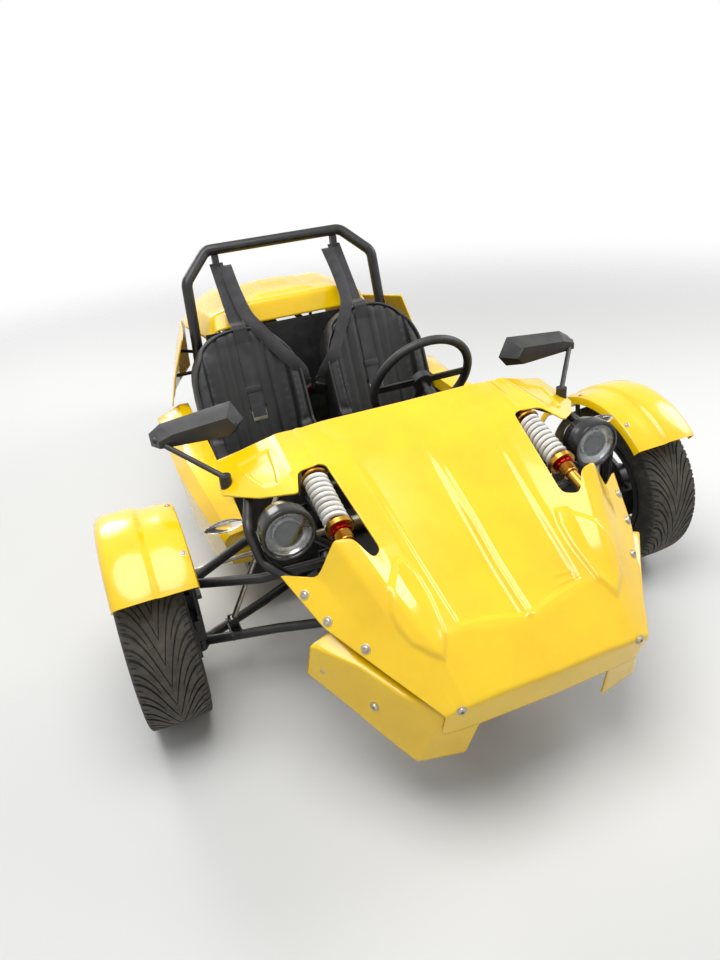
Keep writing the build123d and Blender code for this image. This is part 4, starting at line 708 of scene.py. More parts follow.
# %% [markdown]
# ## Tyres
# The front tyres are road tyres 165 mm wide on 13 inch rims, worn and dusty. Their tread is directional:
# each groove starts at the middle of the tread, runs almost along it, and turns outwards until it
# crosses the shoulder. One way is to carve such grooves with a displacement texture, which needs very
# small faces. Here the rows of the mesh follow the grooves instead, so a groove is four rows with two of
# them sunk, and its edges stay crisp with few faces.

# %% Tyre
TREAD_WEAR = make_rubber("tyre_rubber_worn", "38352F", "5E564A", 0.35, 0.7, 0.88)
# Each groove of a pitch: where it starts and ends along the pitch, from and to how far out, depth in mm
GROOVES = [
    (0.04, 0.16, 0.05, 1.02, 5.0),
    (0.46, 0.55, 0.34, 1.02, 4.0),
    (0.76, 0.81, 0.78, 1.02, 2.5),
    (0.27, 0.31, 0.80, 1.00, 2.0),
]
GROOVE_EDGE = 0.018


def tread_rows():
    """Places along one pitch at which the mesh has a row, in order."""
    rows = {0.0}
    for start, end, near, far, depth in GROOVES:
        rows |= {start - GROOVE_EDGE, start, end, end + GROOVE_EDGE}
    return sorted(rows)


def groove_depth(along, out):
    """Depth of the tread at a place along its pitch and out from the middle."""
    deepest = 0
    for start, end, near, far, depth in GROOVES:
        if near < out < far and start - 0.001 < along < end + 0.001:
            deepest = max(deepest, depth)
    return deepest


def tyre_profile(radius, rim, half):
    """Points of half the outside from the middle of the tread to the bead: (out, radius), and tread share."""
    points = [(half * 0.86 * t / 14, radius - 4 * (t / 14) ** 2.2) for t in range(15)]
    shoulder = (half * 0.86, radius - 4)
    wide = (half, radius - (radius - rim) * 0.45)
    for k in range(1, 6):
        turn = math.radians(90 * k / 5)
        points.append((shoulder[0] + (half * 0.975 - shoulder[0]) * math.sin(turn),
                       shoulder[1] - 20 * (1 - math.cos(turn))))
    low_start = points[-1]
    for k in range(1, 5):
        t = k / 4
        points.append((low_start[0] + (wide[0] - low_start[0]) * ease(t),
                       low_start[1] + (wide[1] - low_start[1]) * t))
    bead = (half * 0.80, rim + 8)
    for k in range(1, 7):
        t = k / 6
        points.append((wide[0] + (bead[0] - wide[0]) * t ** 1.8, wide[1] + (bead[1] - wide[1]) * t))
    points.append((half * 0.80, rim + 1))
    return points


def make_tyre(name, node, body, rim, pitches):
    low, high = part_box(node)
    centre = (low + high) / 2
    radius, half = (high.z - low.z) / 2 / MM - 0.5, (high.y - low.y) / 2 / MM - 0.3
    profile = tyre_profile(radius, rim, half)
    whole = [(-out, r) for out, r in reversed(profile[1:])] + profile
    inner = [(half * 0.72, rim + 1), (half * 0.85, (radius + rim) / 2), (half * 0.6, radius - 14),
             (-half * 0.6, radius - 14), (-half * 0.85, (radius + rim) / 2), (-half * 0.72, rim + 1)]
    loop = whole + inner
    rows = [(p + along) / pitches for p in range(pitches) for along in tread_rows()]
    alongs = tread_rows() * pitches
    sweep_back = 2.6 / pitches
    verts, sunk = [], []
    for row, along in zip(rows, alongs):
        for k, (out, r) in enumerate(loop):
            share = min(1.0, abs(out) / (half * 0.975)) if k < len(whole) else 1.0
            turn = 2 * math.pi * (row + sweep_back * (1 - (1 - share) ** 2.2))
            depth = groove_depth(along, share) if k < len(whole) and r > radius - 24 else 0
            reach = r - depth
            verts.append((centre.x + reach * MM * math.cos(turn), centre.y + out * MM,
                          centre.z + reach * MM * math.sin(turn)))
            sunk.append(depth > 0 or k >= len(whole) or r < radius - 12)
    count, around = len(loop), len(rows)
    faces = []
    for i in range(around):
        for k in range(count):
            following = (i + 1) % around
            faces.append((i * count + k, i * count + (k + 1) % count,
                          following * count + (k + 1) % count, following * count + k))
    ob = piece(name, verts, faces, body, tyre_rubber)
    ob.data.materials.append(TREAD_WEAR)
    for polygon in ob.data.polygons:
        if not any(sunk[v] for v in polygon.vertices):
            polygon.material_index = 1
    ob.data.set_sharp_from_angle(angle=math.radians(40))
    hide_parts(node)
    return ob


make_tyre("tyre_tread_front_left", "tyre_front_left", "front_wheel_left", 165, 26)
make_tyre("tyre_tread_front_right", "tyre_front_right", "front_wheel_right", 165, 26)
tyre = make_tyre("tyre_tread_rear", "tyre_rear", "rear_wheel", 190, 28)
print("tyre faces", len(tyre.data.polygons))

# %% [markdown]
# ## Seats
# Each seat is a shell covered in black vinyl over foam. Its back is an arch, sewn into long flutes, with
# a thick welt round its edge. The cover is a closed soft form: the CAD seat is remeshed into even cells
# and swollen by Blender's cloth with pressure, which rounds its edges as foam does under a tight skin.
# The seams of the flutes come after that, sunk by code, because remeshing would rub them out.

# %% Seat cover
SEAT_CELL = 0.010
SWELL_CAP = 0.007
SEAM_WIDTH = 5.5
SEAM_DEPTH = 5.0
FLUTE_SEAMS = (-84, -42, 0, 42, 84)
FLUTE_CROWN = 2.0
BOLSTER_W = 58
SIMULATED = 20
# Shoulder belt over the facing: heights, and how far ahead of the bulkhead it lies there
BELT_Z = (492, 701, 750, 758)
BELT_X = (184, 110.5, 104, 92)
BELT_OFFSET = 12
BELT_HALF = 27
BELT_GAP = 2.6


def even_copy(name, node, cell):
    """Copy of a CAD solid with even cells, ready for cloth."""
    ob = bpy.data.objects.new(name, nodes[node].data.copy())
    bpy.context.scene.collection.objects.link(ob)
    remesh = ob.modifiers.new("even cells", "REMESH")
    remesh.mode = "VOXEL"
    remesh.voxel_size = cell
    apply_modifiers(ob)
    return ob


def apply_modifiers(ob):
    """Keep what the modifiers show and drop them."""
    shown = ob.evaluated_get(bpy.context.evaluated_depsgraph_get())
    mesh = bpy.data.meshes.new_from_object(shown)
    ob.modifiers.clear()
    ob.data = mesh


def swell(ob, cap):
    """Puff a closed form up with cloth under pressure, each point by at most a cap."""
    start = [v.co.copy() for v in ob.data.vertices]
    cloth = ob.modifiers.new("cover", "CLOTH")
    cloth.settings.use_pressure = True
    cloth.settings.uniform_pressure_force = 4
    cloth.settings.effector_weights.gravity = 0
    cloth.settings.quality = 3
    cloth.collision_settings.use_collision = False
    cloth.point_cache.frame_end = SIMULATED
    scene = bpy.context.scene
    for frame_number in range(1, SIMULATED + 1):
        scene.frame_set(frame_number)
    shown = ob.evaluated_get(bpy.context.evaluated_depsgraph_get())
    moved = [v.co.copy() for v in shown.data.vertices]
    ob.modifiers.clear()
    scene.frame_set(1)
    for vertex, before, after in zip(ob.data.vertices, start, moved):
        step = after - before
        if step.length > cap:
            step = step.normalized() * cap
        vertex.co = before + step


def points_and_normals(ob):
    """Places of a mesh's vertices in millimetres, and their normals."""
    mesh = ob.data
    points = np.empty(len(mesh.vertices) * 3, np.float32)
    mesh.vertices.foreach_get("co", points)
    normals = np.array([v.normal[:] for v in mesh.vertices])
    return points.reshape(-1, 3) / MM, normals


def set_points(ob, points):
    ob.data.vertices.foreach_set("co", (points * MM).astype(np.float32).ravel())
    ob.data.update()


def sew_flutes(ob, middle_y, inner_half):
    """Sink the seams of the flutes into the faces that meet the driver's back and legs."""
    points, normals = points_and_normals(ob)
    across = points[:, 1] - middle_y / MM
    facing = normals[:, 0] * 0.9 + normals[:, 2] * 0.45
    nearest = np.min([np.abs(across - seam) for seam in FLUTE_SEAMS], axis=0)
    sunk = np.exp(-(nearest / SEAM_WIDTH) ** 2) * SEAM_DEPTH
    crown = FLUTE_CROWN * (1 - np.exp(-(nearest / 14) ** 2))
    step = np.where((np.abs(across) > inner_half) | (facing < 0.55), 0, crown - sunk)
    set_points(ob, points + normals * step[:, None])


def behind_belt(ob, middle_y):
    """Hold the facing behind the shoulder belt that lies on it."""
    points, normals = points_and_normals(ob)
    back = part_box("floor_tub")[0].x / MM
    belt_y = math.copysign(abs(middle_y) / MM - BELT_OFFSET, middle_y)
    limit = back + np.interp(points[:, 2], BELT_Z, BELT_X) - BELT_GAP
    under = (points[:, 2] > 480) & (normals[:, 0] > 0.2) & (np.abs(points[:, 1] - belt_y) < BELT_HALF)
    points[:, 0] = np.where(under, np.minimum(points[:, 0], limit), points[:, 0])
    set_points(ob, points)


def keep_inside(ob, low, high, margin=4):
    """Hold a soft form within its solid's box and a small margin, and off the floor of the tub."""
    points, _ = points_and_normals(ob)
    least = np.array(low) / MM - (margin, margin, 0)
    most = np.array(high) / MM + margin
    set_points(ob, np.clip(points, least, most))


def make_seat(name, node):
    low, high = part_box(node)
    middle_y = (low.y + high.y) / 2
    inner_half = (high.y - low.y) / 2 / MM - BOLSTER_W
    ob = even_copy(name, node, SEAT_CELL)
    swell(ob, SWELL_CAP)
    smooth = ob.modifiers.new("soft", "SMOOTH")
    smooth.factor, smooth.iterations = 0.5, 6
    finer = ob.modifiers.new("finer", "SUBSURF")
    finer.levels = finer.render_levels = 1
    apply_modifiers(ob)
    ob.data.update()
    sew_flutes(ob, middle_y, inner_half)
    behind_belt(ob, middle_y)
    keep_inside(ob, low, high)
    for polygon in ob.data.polygons:
        polygon.use_smooth = True
    ob.data.materials.clear()
    ob.data.materials.append(black_vinyl)
    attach(ob, "chassis")
    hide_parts(node)
    return ob


seats = [make_seat("seat_cover_left", "seat_left"), make_seat("seat_cover_right", "seat_right")]
print("seat faces", [len(seat.data.polygons) for seat in seats])

# %% [markdown]
# ## Rear deck, sides and bumper
# The deck behind the seats is moulded like the hood. Its middle stands up in one broad step that fades
# out at both ends. The sides are plain curved skins, and the bumper keeps the crisp folds of its tool,
# so its net is relaxed only a few times. The rows of the deck and bumper turn the other way round from
# the hood's, so their outer side is the other one, and a raised shape has a negative depth.

# %% Deck
TYRE_TOP = (middle_of("tyre_rear").z + size_of("tyre_rear").z / 2) / MM
# Columns are centre, inner, hump, edge and lower edge: (ahead of the rear axle, y, z)
DECK_ROWS = [
    [(751, 0, 726), (751, 100, 726), (751, 196, 726), (745, 285, 722), (735, 322, 690)],
    [(728, 0, 800), (728, 100, 800), (728, 188, 800), (705, 290, 768), (690, 326, 694)],
    [(480, 0, 806), (480, 100, 806), (480, 195, 806), (480, 309, 757), (480, 362, 690)],
    [(317, 0, 767), (317, 101, 768), (300, 210, 775), (300, 290, 735), (300, 345, 670)],
    [(180, 0, TYRE_TOP + 134), (180, 100, TYRE_TOP + 139), (180, 200, TYRE_TOP + 152),
     (180, 270, TYRE_TOP + 119), (180, 320, TYRE_TOP + 64)],
    [(-60, 0, TYRE_TOP + 64), (-60, 80, TYRE_TOP + 69), (-60, 160, TYRE_TOP + 69), (-60, 210, TYRE_TOP + 49),
     (-60, 240, TYRE_TOP + 14)],
    [(-90, 0, TYRE_TOP + 4), (-90, 80, TYRE_TOP + 6), (-88, 150, TYRE_TOP + 4), (-85, 195, TYRE_TOP - 1),
     (-75, 225, TYRE_TOP - 16)],
]


def make_deck():
    net = panel_net(DECK_ROWS, REAR_X, True, 9, 8)
    x, y = net[:, :, 0] - REAR_X * 1000, np.abs(net[:, :, 1])
    depth = -7 * ease((118 - y) / 22) * ease((x - 10) / 60) * ease((700 - x) / 30)
    depth -= 4 * ease((60 - y) / 16) * ease((x - 90) / 60) * ease((600 - x) / 60)
    ob = skin_piece("deck_moulding", skin_mesh(press(net, depth)), WALL, "chassis", yellow_gelcoat, -1)
    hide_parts("rear_deck")
    return ob


deck = make_deck()
print("deck faces", len(deck.data.polygons))

# %% Body sides and bumper
# Columns are top, waist and bottom: (ahead of the rear axle, y, z)
SIDE_ROWS = [
    [(810, 420, 740), (800, 470, 610), (780, 500, 495)],
    [(480, 372, 688), (480, 430, 580), (480, 460, 440)],
    [(300, 354, 668), (300, 390, 570), (320, 410, 430)],
    [(150, 322, 640), (150, 330, 560), (180, 340, 440)],
]
# Columns are tucked top, outer top and lower edge: (ahead of the front axle, y, z)
BUMPER_ROWS = [
    [(425, 386, 418), (425, 440, 396), (405, 452, 306)],
    [(508, 338, 384), (513, 368, 382), (490, 395, 262)],
    [(600, 281, 346), (605, 303, 341), (560, 340, 205)],
    [(656, 230, 322), (660, 240, 306), (612, 290, 153)],
    [(670, 185, 320), (668, 185, 300), (628, 182, 142)],
    [(672, 165, 320), (669, 165, 295), (662, 165, 258)],
    [(674, 0, 322), (671, 0, 297), (664, 0, 258)],
]


def two_skins(name, net, outward):
    """Left and right skin of a panel that stands beside the middle, as one object."""
    bm = skin_mesh(net)
    other = bmesh.ops.duplicate(bm, geom=bm.verts[:] + bm.edges[:] + bm.faces[:])["geom"]
    for element in other:
        if isinstance(element, bmesh.types.BMVert):
            element.co.y = -element.co.y
    bmesh.ops.reverse_faces(bm, faces=[e for e in other if isinstance(e, bmesh.types.BMFace)])
    return skin_piece(name, bm, WALL, "chassis", yellow_gelcoat, outward)


def make_sides():
    net = panel_net(SIDE_ROWS, REAR_X, False, 9, 9)
    x, z = net[:, :, 0] - REAR_X * 1000, net[:, :, 2]
    inset = ease((x - 330) / 25) * ease((740 - x) / 25) * ease((z - 500) / 16) * ease((640 - z) / 16)
    ob = two_skins("side_moulding", press(net, 4 * inset), -1)
    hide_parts("rear_sides")
    return ob


def make_bumper():
    rows = [[(x, -y, z) for x, y, z in row] for row in BUMPER_ROWS[:-1]] + BUMPER_ROWS[::-1]
    net = panel_net(rows, FRONT_X, False, 3, 6)
    ob = skin_piece("bumper_moulding", skin_mesh(net), WALL, "chassis", yellow_gelcoat, -1)
    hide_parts("front_bumper")
    return ob


sides, bumper = make_sides(), make_bumper()
print("side faces", len(sides.data.polygons), "bumper faces", len(bumper.data.polygons))

# %% [markdown]
# A turned shape, such as a fender, a lamp bowl or a screw head, is its section carried round an axis. One
# function makes them all: it takes the section as (along the axis, radius) and turns it about a line.

# %% Turned shapes
def turned(name, section, steps, body, material, place, start=0, sweep=360, closed=False):
    """Section of (along, radius) in millimetres turned about the Z axis of a placement."""
    full = sweep == 360
    count = steps if full else steps + 1
    verts, faces = [], []
    for i in range(count):
        turn = math.radians(start + sweep * i / steps)
        verts += [place @ (Vector((r * math.cos(turn), r * math.sin(turn), a)) * MM) for a, r in section]
    size = len(section)
    for i in range(steps):
        following = (i + 1) % count
        for k in range(size if closed else size - 1):
            after = (k + 1) % size
            faces.append((i * size + k, following * size + k, following * size + after, i * size + after))
    if closed and not full:
        faces += [tuple(range(size)), tuple(range((count - 1) * size, count * size))[::-1]]
    ob = piece(name, verts, faces, body, material)
    ob.data.set_sharp_from_angle(angle=math.radians(38))
    return ob


def placed(origin, axis):
    """Placement in metres whose Z axis runs along a direction."""
    return Matrix.Translation(Vector(origin)) @ Vector(axis).to_track_quat("Z", "Y").to_matrix().to_4x4()


# %% [markdown]
# ## Cycle fenders
# Each fender is a band with a rounded crown. Its outer half stands 9 mm higher, behind a soft step, and
# both rims turn down over the tyre. Small dome screws hold it to its stays.

# %% Fenders
FENDER_AHEAD, FENDER_BEHIND = 43, 60
FENDER_WALL = 4.2
# Section from the inner rim to the outer one: (out from the inner rim, radius)
FENDER_OUTSIDE = [(0, 278), (1, 292), (4, 299.5), (12, 303), (50, 305.5), (86, 306), (93, 307.5), (99, 313),
                  (106, 315), (150, 315), (182, 313.5), (192, 309), (198, 300), (200, 290), (200, 278)]


def make_fender(name, node, body, side):
    low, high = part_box(node)
    inner = low.y if side > 0 else high.y
    width, lip = FENDER_OUTSIDE[-1]
    inside = [(min(max(out, FENDER_WALL), width - FENDER_WALL), radius - FENDER_WALL)
              for out, radius in FENDER_OUTSIDE[1:-1]]
    loop = FENDER_OUTSIDE + [(width - FENDER_WALL, lip)] + inside[::-1] + [(FENDER_WALL, lip)]
    axle = Vector((FRONT_X, inner, middle_of("tyre_front_left").z))
    place = Matrix.Translation(axle) @ Matrix(((1, 0, 0), (0, 0, side), (0, 1, 0))).to_4x4()
    ob = turned(name, loop, 72, body, yellow_gelcoat, place, 90 - FENDER_AHEAD, FENDER_AHEAD + FENDER_BEHIND,
                closed=True)
    if side > 0:
        ob.data.flip_normals()
    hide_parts(node)
    return ob


fenders = [make_fender("fender_skin_left", "fender_left", "knuckle_left", 1),
           make_fender("fender_skin_right", "fender_right", "knuckle_right", -1)]

# %% [markdown]
# ## Screws
# The panels are held by zinc-plated dome screws with a hexagon socket, each on a wide washer. A screw is
# seated where the panel is nearest to its measured point, and stands along the panel's normal there.

# %% Screws
SCREW_HEAD = [(0, 11), (1.4, 11), (1.6, 10.6), (1.6, 8.2), (2.6, 8), (4.4, 6.9), (5.6, 5), (5.9, 3.6)]
SCREW_SOCKET = [(5.6, 3.3), (2.9, 3.1), (2.9, 0.01)]


def screw(name, near, panel, body, size=1.0):
    """Dome screw on the panel's skin, near a point in metres."""
    _, point, normal, _ = panel.closest_point_on_mesh(Vector(near))
    outward = Vector((near[0] * 0.2, near[1], abs(near[2] - 0.3)))
    if normal.dot(outward) < 0:
        normal = -normal
    head = [(a * size, r * size) for a, r in SCREW_HEAD + SCREW_SOCKET]
    return turned(name, head, 24, body, zinc_plate, placed(point + normal * 0.2 * MM, normal))


# Screws of the front end: (ahead of the front axle, y, z) and the skin that each holds
FRONT_SCREWS = [((366, 424, 488), hood), ((430, 397, 450), hood), ((513, 347, 418), hood),
                ((691, 219, 340), hood), ((438, 419, 330), bumper), ((545, 350, 285), bumper)]
FENDER_SCREW_DEG = (64, 104)
FENDER_SCREW_R, FENDER_SCREW_OUT = 0.31, 0.016
count = 0
for (ahead_mm, y, z), panel in FRONT_SCREWS:
    for side in (1, -1):
        count += 1
        screw(f"panel_screw_{count}", (FRONT_X + ahead_mm * MM, side * y * MM, z * MM), panel, "chassis")
for fender, body, side in zip(fenders, ("knuckle_left", "knuckle_right"), (1, -1)):
    axle_z = middle_of("tyre_front_left").z
    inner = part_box("fender_left" if side > 0 else "fender_right")[0 if side > 0 else 1].y
    for k, degrees in enumerate(FENDER_SCREW_DEG):
        turn = math.radians(degrees)
        near = (FRONT_X + FENDER_SCREW_R * math.cos(turn), inner + side * FENDER_SCREW_OUT,
                axle_z + FENDER_SCREW_R * math.sin(turn))
        screw(f"fender_screw_{body}_{k}", near, fender, body, 0.7)
print("screws", count)

# %% [markdown]
# ## Springs' collars
# Below each white spring sit a red anodised lock ring with notches for a hook spanner and a gold body
# whose thread shows above it. The notches are cut as lower teeth round the ring.

# %% Collars
# Front dampers run between these eyes: (x, y, z) in millimetres. The collar's place is a share of the length
COLLAR_AT = 0.61
NOTCHES = 8
SHOCK_REAR = Vector((FRONT_X * 1000 + 105, 298, 637))
SHOCK_FRONT = Vector((FRONT_X * 1000 + 395, 298, 533))


def notched_ring(name, place, inner, outer, height, notches, material):
    """Ring with notches round its outside."""
    steps = notches * 6
    verts, faces = [], []
    for i in range(steps):
        turn = 2 * math.pi * i / steps
        far = outer - (2.2 if i % 6 in (0, 1) else 0)
        section = ((0, inner), (0, far - 0.8), (0.8, far), (height - 0.8, far), (height, far - 0.8),
                   (height, inner))
        verts += [place @ (Vector((r * math.cos(turn), r * math.sin(turn), a)) * MM) for a, r in section]
    for i in range(steps):
        for k in range(5):
            following = (i + 1) % steps
            faces.append((i * 6 + k, following * 6 + k, following * 6 + k + 1, i * 6 + k + 1))
    ob = piece(name, verts, faces, "chassis", material)
    ob.data.set_sharp_from_angle(angle=math.radians(30))
    return ob


for side, name in ((1, "left"), (-1, "right")):
    mirror = Vector((1, side, 1))
    start, end = SHOCK_REAR * mirror * MM, SHOCK_FRONT * mirror * MM
    run = (end - start).normalized()
    length = (end - start).length
    collar = placed(start + run * (length * COLLAR_AT + 0.0104), run)
    notched_ring(f"lock_ring_{name}", collar, 19.2, 25, 9, NOTCHES, red_anodised)
    thread = [(12 + k * 1.5 + half, 19.2 + (0.9 if half else 0)) for k in range(14) for half in (0, 0.75)]
    turned(f"damper_thread_{name}", thread, 40, "chassis", gold_anodised, collar)
print("damper", round(length, 3), "m")

# %% [markdown]
# ## Headlamps
# Behind each round glass is a bright bowl and a chrome ring round the projector, with a black bezel round
# the rim. The bowl is turned from a deep curve, so that it mirrors the room in rings.

# %% Headlamps
LAMP_X, LAMP_Y, LAMP_Z = FRONT_X + 0.239, 0.412, 0.584
BOWL = [(11, 36), (12, 38), (15, 44), (19, 48.5), (24, 51.5), (26.5, 53.4)]
BEZEL = [(26, 54.2), (33, 55), (36.4, 57.5), (37.2, 60.5), (36, 63.2), (31, 64.6), (22, 64.9), (12, 64.6)]
TRIM = [(12, 34.4), (24, 34.8), (25.6, 34), (26, 32.6), (25.4, 30.5), (22, 28.4)]
for side, name in ((1, "left"), (-1, "right")):
    place = placed((LAMP_X, side * LAMP_Y, LAMP_Z), (1, 0, 0))
    turned(f"lamp_bowl_{name}", BOWL, 48, "chassis", stainless, place)
    turned(f"lamp_bezel_{name}", BEZEL, 64, "chassis", gloss_abs, place)
    turned(f"lamp_trim_{name}", TRIM, 48, "chassis", stainless, place)
print("lamps at", round(LAMP_X, 3), LAMP_Y, LAMP_Z)

# %% [markdown]
# ## Mirrors and pods
# The mirror shells and the side pods have the right planes in CAD but sharp edges, where a moulding has a
# radius of some millimetres. A copy of the solid loses its triangles to flat faces, and a Bevel modifier
# rounds the edges that remain.

# %% Rounded copies
def rounded_copy(name, node, body, material, radius, segments=3):
    """Copy of a CAD solid of flat faces, with its edges rounded."""
    bm = bmesh.new()
    bm.from_mesh(nodes[node].data)
    bmesh.ops.remove_doubles(bm, verts=bm.verts, dist=1e-5)
    bmesh.ops.dissolve_limit(bm, angle_limit=math.radians(3), verts=bm.verts, edges=bm.edges)
    mesh = bpy.data.meshes.new(name)
    bm.to_mesh(mesh)
    bm.free()
    ob = bpy.data.objects.new(name, mesh)
    bpy.context.scene.collection.objects.link(ob)
    mesh.materials.clear()
    mesh.materials.append(material)
    bevel = ob.modifiers.new("radius", "BEVEL")
    bevel.width, bevel.segments = radius * MM, segments
    bevel.limit_method, bevel.angle_limit = "ANGLE", math.radians(14)
    bevel.harden_normals = True
    for polygon in mesh.polygons:
        polygon.use_smooth = True
    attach(ob, body)
    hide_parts(node)
    return ob


rounded_copy("mirror_shells", "mirror_heads", "chassis", black_abs, 5)
rounded_copy("pod_mouldings", "side_pods", "chassis", yellow_gelcoat, 9, 4)

# %% [markdown]
# ## Seat welts
# A thick welt, a cord wrapped in vinyl, runs up one bolster, round the arch of the back and down the
# other. It is swept along the edge where the facing meets the side, half sunk into the cover.

# %% Welts
WELT_R = 5
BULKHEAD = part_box("floor_tub")[0].x / MM


def front_of_seat(across, z):
    """How far ahead of the bulkhead a seat's facing is, at a height and so far from its middle."""
    bolster = np.interp(z, (335, 365, 430, 743), (520, 470, 260, 120))
    hollow = np.interp(z, (700, 755), (107, 98))
    return bolster + (hollow - bolster) * float(ease((148 - across) / 16)) if z > 660 else bolster


def swept(name, points, radius, body, material, sides=10):
    """Round cord along points in millimetres, closed at its ends."""
    path = [Vector(p) for p in points]
    verts, faces = [], []
    side = Vector((0, 1, 0))
    for i, point in enumerate(path):
        along = (path[min(i + 1, len(path) - 1)] - path[max(i - 1, 0)]).normalized()
        side = (side - along * side.dot(along)).normalized()
        other = along.cross(side)
        for k in range(sides):
            turn = 2 * math.pi * k / sides
            verts.append((point + (side * math.cos(turn) + other * math.sin(turn)) * radius) * MM)
    for i in range(len(path) - 1):
        for k in range(sides):
            after = (k + 1) % sides
            faces.append((i * sides + k, i * sides + after, (i + 1) * sides + after, (i + 1) * sides + k))
    faces += [tuple(range(sides))[::-1], tuple((len(path) - 1) * sides + k for k in range(sides))]
    return piece(name, verts, faces, body, material)


def welt_points(middle, half, arch, top):
    """Edge of one seat from its cushion up and over the arch: points in millimetres."""
    one_side = [(half - 7, z) for z in range(int(345), int(top - arch), 12)]
    one_side += [(half - arch + (arch - 7) * math.cos(turn), top - arch + (arch - 7) * math.sin(turn))
                 for turn in (math.radians(4 * k) for k in range(23))]
    loop = one_side + [(-across, z) for across, z in reversed(one_side)]
    return [(BULKHEAD + front_of_seat(abs(across), z) - 1.5, middle + across, z) for across, z in loop]


for seat_name, node in (("left", "seat_left"), ("right", "seat_right")):
    low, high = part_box(node)
    half = (high.y - low.y) / 2 / MM
    line = welt_points((low.y + high.y) / 2 / MM, half, half - 12, high.z / MM)
    swept(f"seat_welt_{seat_name}", line, WELT_R, "chassis", black_vinyl)
print("welt points", len(line))

# %% [markdown]
# ## Straps
# Each seat has a second strap from the roll hoop. It crosses the facing of the seat, turns over the inner
# bolster and ends in a buckle between the seats. A strap is a flat band that turns as it goes, so it is
# built from its middle line and a direction across it at each point, and its edges are a little thinner.

# %% Straps
# Right-hand strap: middle line (x, y, z) and the direction across the band
STRAP = [((-396, -196, 925), (0, 1, 0)), ((-310, -196, 858), (0, 1, 0)), ((-225, -188, 789), (0, 1, 0.15)),
         ((-178, -170, 752), (0.05, 1, 0.35)), ((-150, -140, 707), (0.1, 0.9, 0.5)),
         ((-118, -106, 659), (0.2, 0.85, 0.55)), ((-92, -72, 617), (0.1, 0.85, 0.6)),
         ((-98, -44, 572), (-0.15, 0.8, 0.6)), ((-122, -34, 530), (-0.2, 0.9, 0.3))]
STRAP_HALF = 23
STRAP_T = 1.3
# Shoulder belt's lower run, in millimetres: where it ends, how far out, and which way it goes
BELT_END = (184, 226, 492)
BELT_RUN = Vector((73.5, 0, -209))


def smooth_through(points, steps):
    """Points of a smooth line through the given ones."""
    ends = [points[0] * 2 - points[1]] + points + [points[-1] * 2 - points[-2]]
    result = []
    for a, b, c, d in zip(ends[:-3], ends[1:-2], ends[2:-1], ends[3:]):
        for k in range(steps):
            t = k / steps
            result.append((b * 2 + (c - a) * t + (a * 2 - b * 5 + c * 4 - d) * t * t
                           + (b * 3 - a - c * 3 + d) * t ** 3) / 2)
    return result + [points[-1]]


def band(name, line, half, thickness, body, material):
    """Flat band along a line of (middle, across) in millimetres."""
    middles = smooth_through([Vector(p) for p, q in line], 8)
    across = [v.normalized() for v in smooth_through([Vector(q) for p, q in line], 8)]
    section = [(-1, 0), (-0.96, 1), (0, 1.15), (0.96, 1), (1, 0), (0.96, -1), (0, -1.15), (-0.96, -1)]
    verts, faces = [], []
    for i, (middle, side) in enumerate(zip(middles, across)):
        along = (middles[min(i + 1, len(middles) - 1)] - middles[max(i - 1, 0)]).normalized()
        side = (side - along * side.dot(along)).normalized()
        out = along.cross(side)
        verts += [(middle + side * a * half + out * b * thickness) * MM for a, b in section]
    for i in range(len(middles) - 1):
        for k in range(8):
            after = (k + 1) % 8
            faces.append((i * 8 + k, i * 8 + after, (i + 1) * 8 + after, (i + 1) * 8 + k))
    faces += [tuple(range(8))[::-1], tuple((len(middles) - 1) * 8 + k for k in range(8))]
    return piece(name, verts, faces, body, material)


def slab(name, place, size, radius, body, material):
    """Block with rounded edges, for a buckle or a plate, from its middle and size in millimetres."""
    bm = bmesh.new()
    bmesh.ops.create_cube(bm, size=1, matrix=place @ Matrix.Diagonal((*[s * MM for s in size], 1)))
    bmesh.ops.bevel(bm, geom=bm.edges[:], offset=radius * MM, segments=3, affect="EDGES", profile=0.5)
    mesh = bpy.data.meshes.new(name)
    bm.to_mesh(mesh)
    bm.free()
    ob = bpy.data.objects.new(name, mesh)
    bpy.context.scene.collection.objects.link(ob)
    mesh.materials.append(material)
    for polygon in mesh.polygons:
        polygon.use_smooth = True
    mesh.set_sharp_from_angle(angle=math.radians(35))
    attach(ob, body)
    return ob


def axes(middle, along, across):
    """Placement in metres from a middle in millimetres, with X along and Y across."""
    x = Vector(along).normalized()
    y = (Vector(across) - x * Vector(across).dot(x)).normalized()
    turn = Matrix((x, y, x.cross(y))).transposed()
    return Matrix.Translation(Vector(middle) * MM) @ turn.to_4x4()


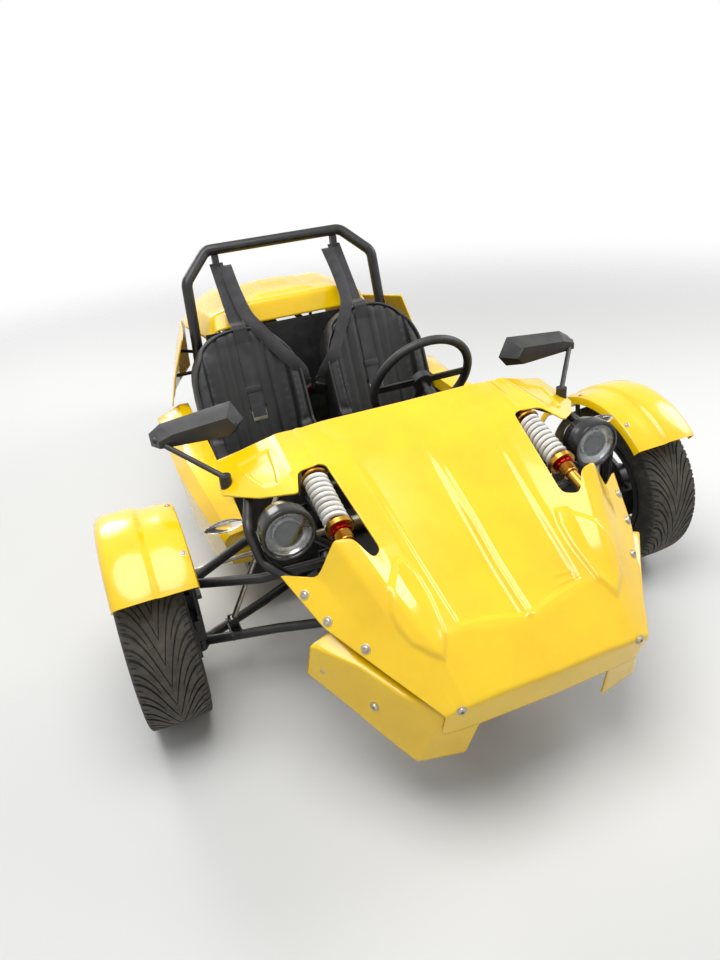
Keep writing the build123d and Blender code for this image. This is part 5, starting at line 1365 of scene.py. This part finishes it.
button_red = make_abs("buckle_button_red", "A8191B", 0.3, 0.45, 0.02)
for side, name in ((-1, "right"), (1, "left")):
    line = [((x, -side * y, z), (a, -side * b, c)) for (x, y, z), (a, b, c) in STRAP]
    band(f"cross_strap_{name}", line, STRAP_HALF, STRAP_T, "chassis", belt_webbing)
    (ex, ey, ez), across = line[-1]
    down = Vector(line[-1][0]) - Vector(line[-2][0])
    tongue = axes(Vector((ex, ey, ez)) + down.normalized() * 14, down, across)
    slab(f"strap_tongue_{name}", tongue, (30, 50, 2.4), 1.1, "chassis", zinc_plate)
    buckle = axes(Vector((ex, ey, ez)) + down.normalized() * 52, down, across)
    slab(f"strap_buckle_{name}", buckle, (58, 44, 18), 4, "chassis", black_abs)
    button = buckle @ Matrix.Translation((-0.018, 0, 0.0078))
    slab(f"buckle_button_{name}", button, (16, 32, 4), 1.2, "chassis", button_red)
    # The shoulder belt's own tongue: its plate and the slide above it
    end = Vector((BULKHEAD + BELT_END[0], side * BELT_END[1], BELT_END[2]))
    place = axes(end + BELT_RUN.normalized() * 34, BELT_RUN, (0, 1, 0)) @ Matrix.Translation((0, 0, 0.0005))
    slab(f"belt_tongue_{name}", place, (34, 52, 8), 1.5, "chassis", zinc_plate)
    place = axes(end - BELT_RUN.normalized() * 60, BELT_RUN, (0, 1, 0))
    slab(f"belt_slide_{name}", place, (24, 56, 5), 1.6, "chassis", black_abs)
print("straps", 2)

# %% [markdown]
# ## Mirror glass
# The glass is a flat pane in the rear face of each shell, silvered on its back, so it is a near-perfect
# mirror with a little dust on it.

# %% Mirror glass
mirror_silver, tree, shader = new_material("silvered_glass")
dust = spread(tree, noise(tree, 30, 5), 0, 1, 0.5, 0.85)
tree.links.new(between(tree, dust, linear("D8DCDE"), linear("B5B4AE")), shader.inputs["Base Color"])
tree.links.new(spread(tree, noise(tree, 20, 5), 0.02, 0.09), shader.inputs["Roughness"])
shader.inputs["Metallic"].default_value = 1
bump(tree, shader, noise(tree, 60, 1), 0.02)

# Where each arm meets its shell, ahead of the front axle, and the shell's rear face round it: (y, z)
KNEE = (-120, 621, 711)
SHELL_FACE = [(12, -24), (-205, -40), (-232, -8), (-205, 48), (-20, 30), (12, 10)]
for side, name in ((1, "left"), (-1, "right")):
    knee = Vector((FRONT_X / MM + KNEE[0], side * KNEE[1], KNEE[2]))
    middle = (-110, 2)
    pane = [(middle[0] + (a - middle[0]) * 0.88, middle[1] + (b - middle[1]) * 0.8) for a, b in SHELL_FACE]
    pane = rounded(pane, 9)
    rim = [Vector((knee.x - 29.5, knee.y + side * a, knee.z + b)) * MM for a, b in pane]
    edge = [Vector((knee.x - 30.2, knee.y + side * (middle[0] + (a - middle[0]) * 0.985),
                    knee.z + middle[1] + (b - middle[1]) * 0.97)) * MM for a, b in pane]
    count = len(rim)
    faces = [(k, (k + 1) % count, count + (k + 1) % count, count + k) for k in range(count)]
    faces.append(tuple(range(count, 2 * count)))
    ob = piece(f"mirror_glass_{name}", rim + edge, faces, "chassis", mirror_silver)
    ob.data.set_sharp_from_angle(angle=math.radians(30))
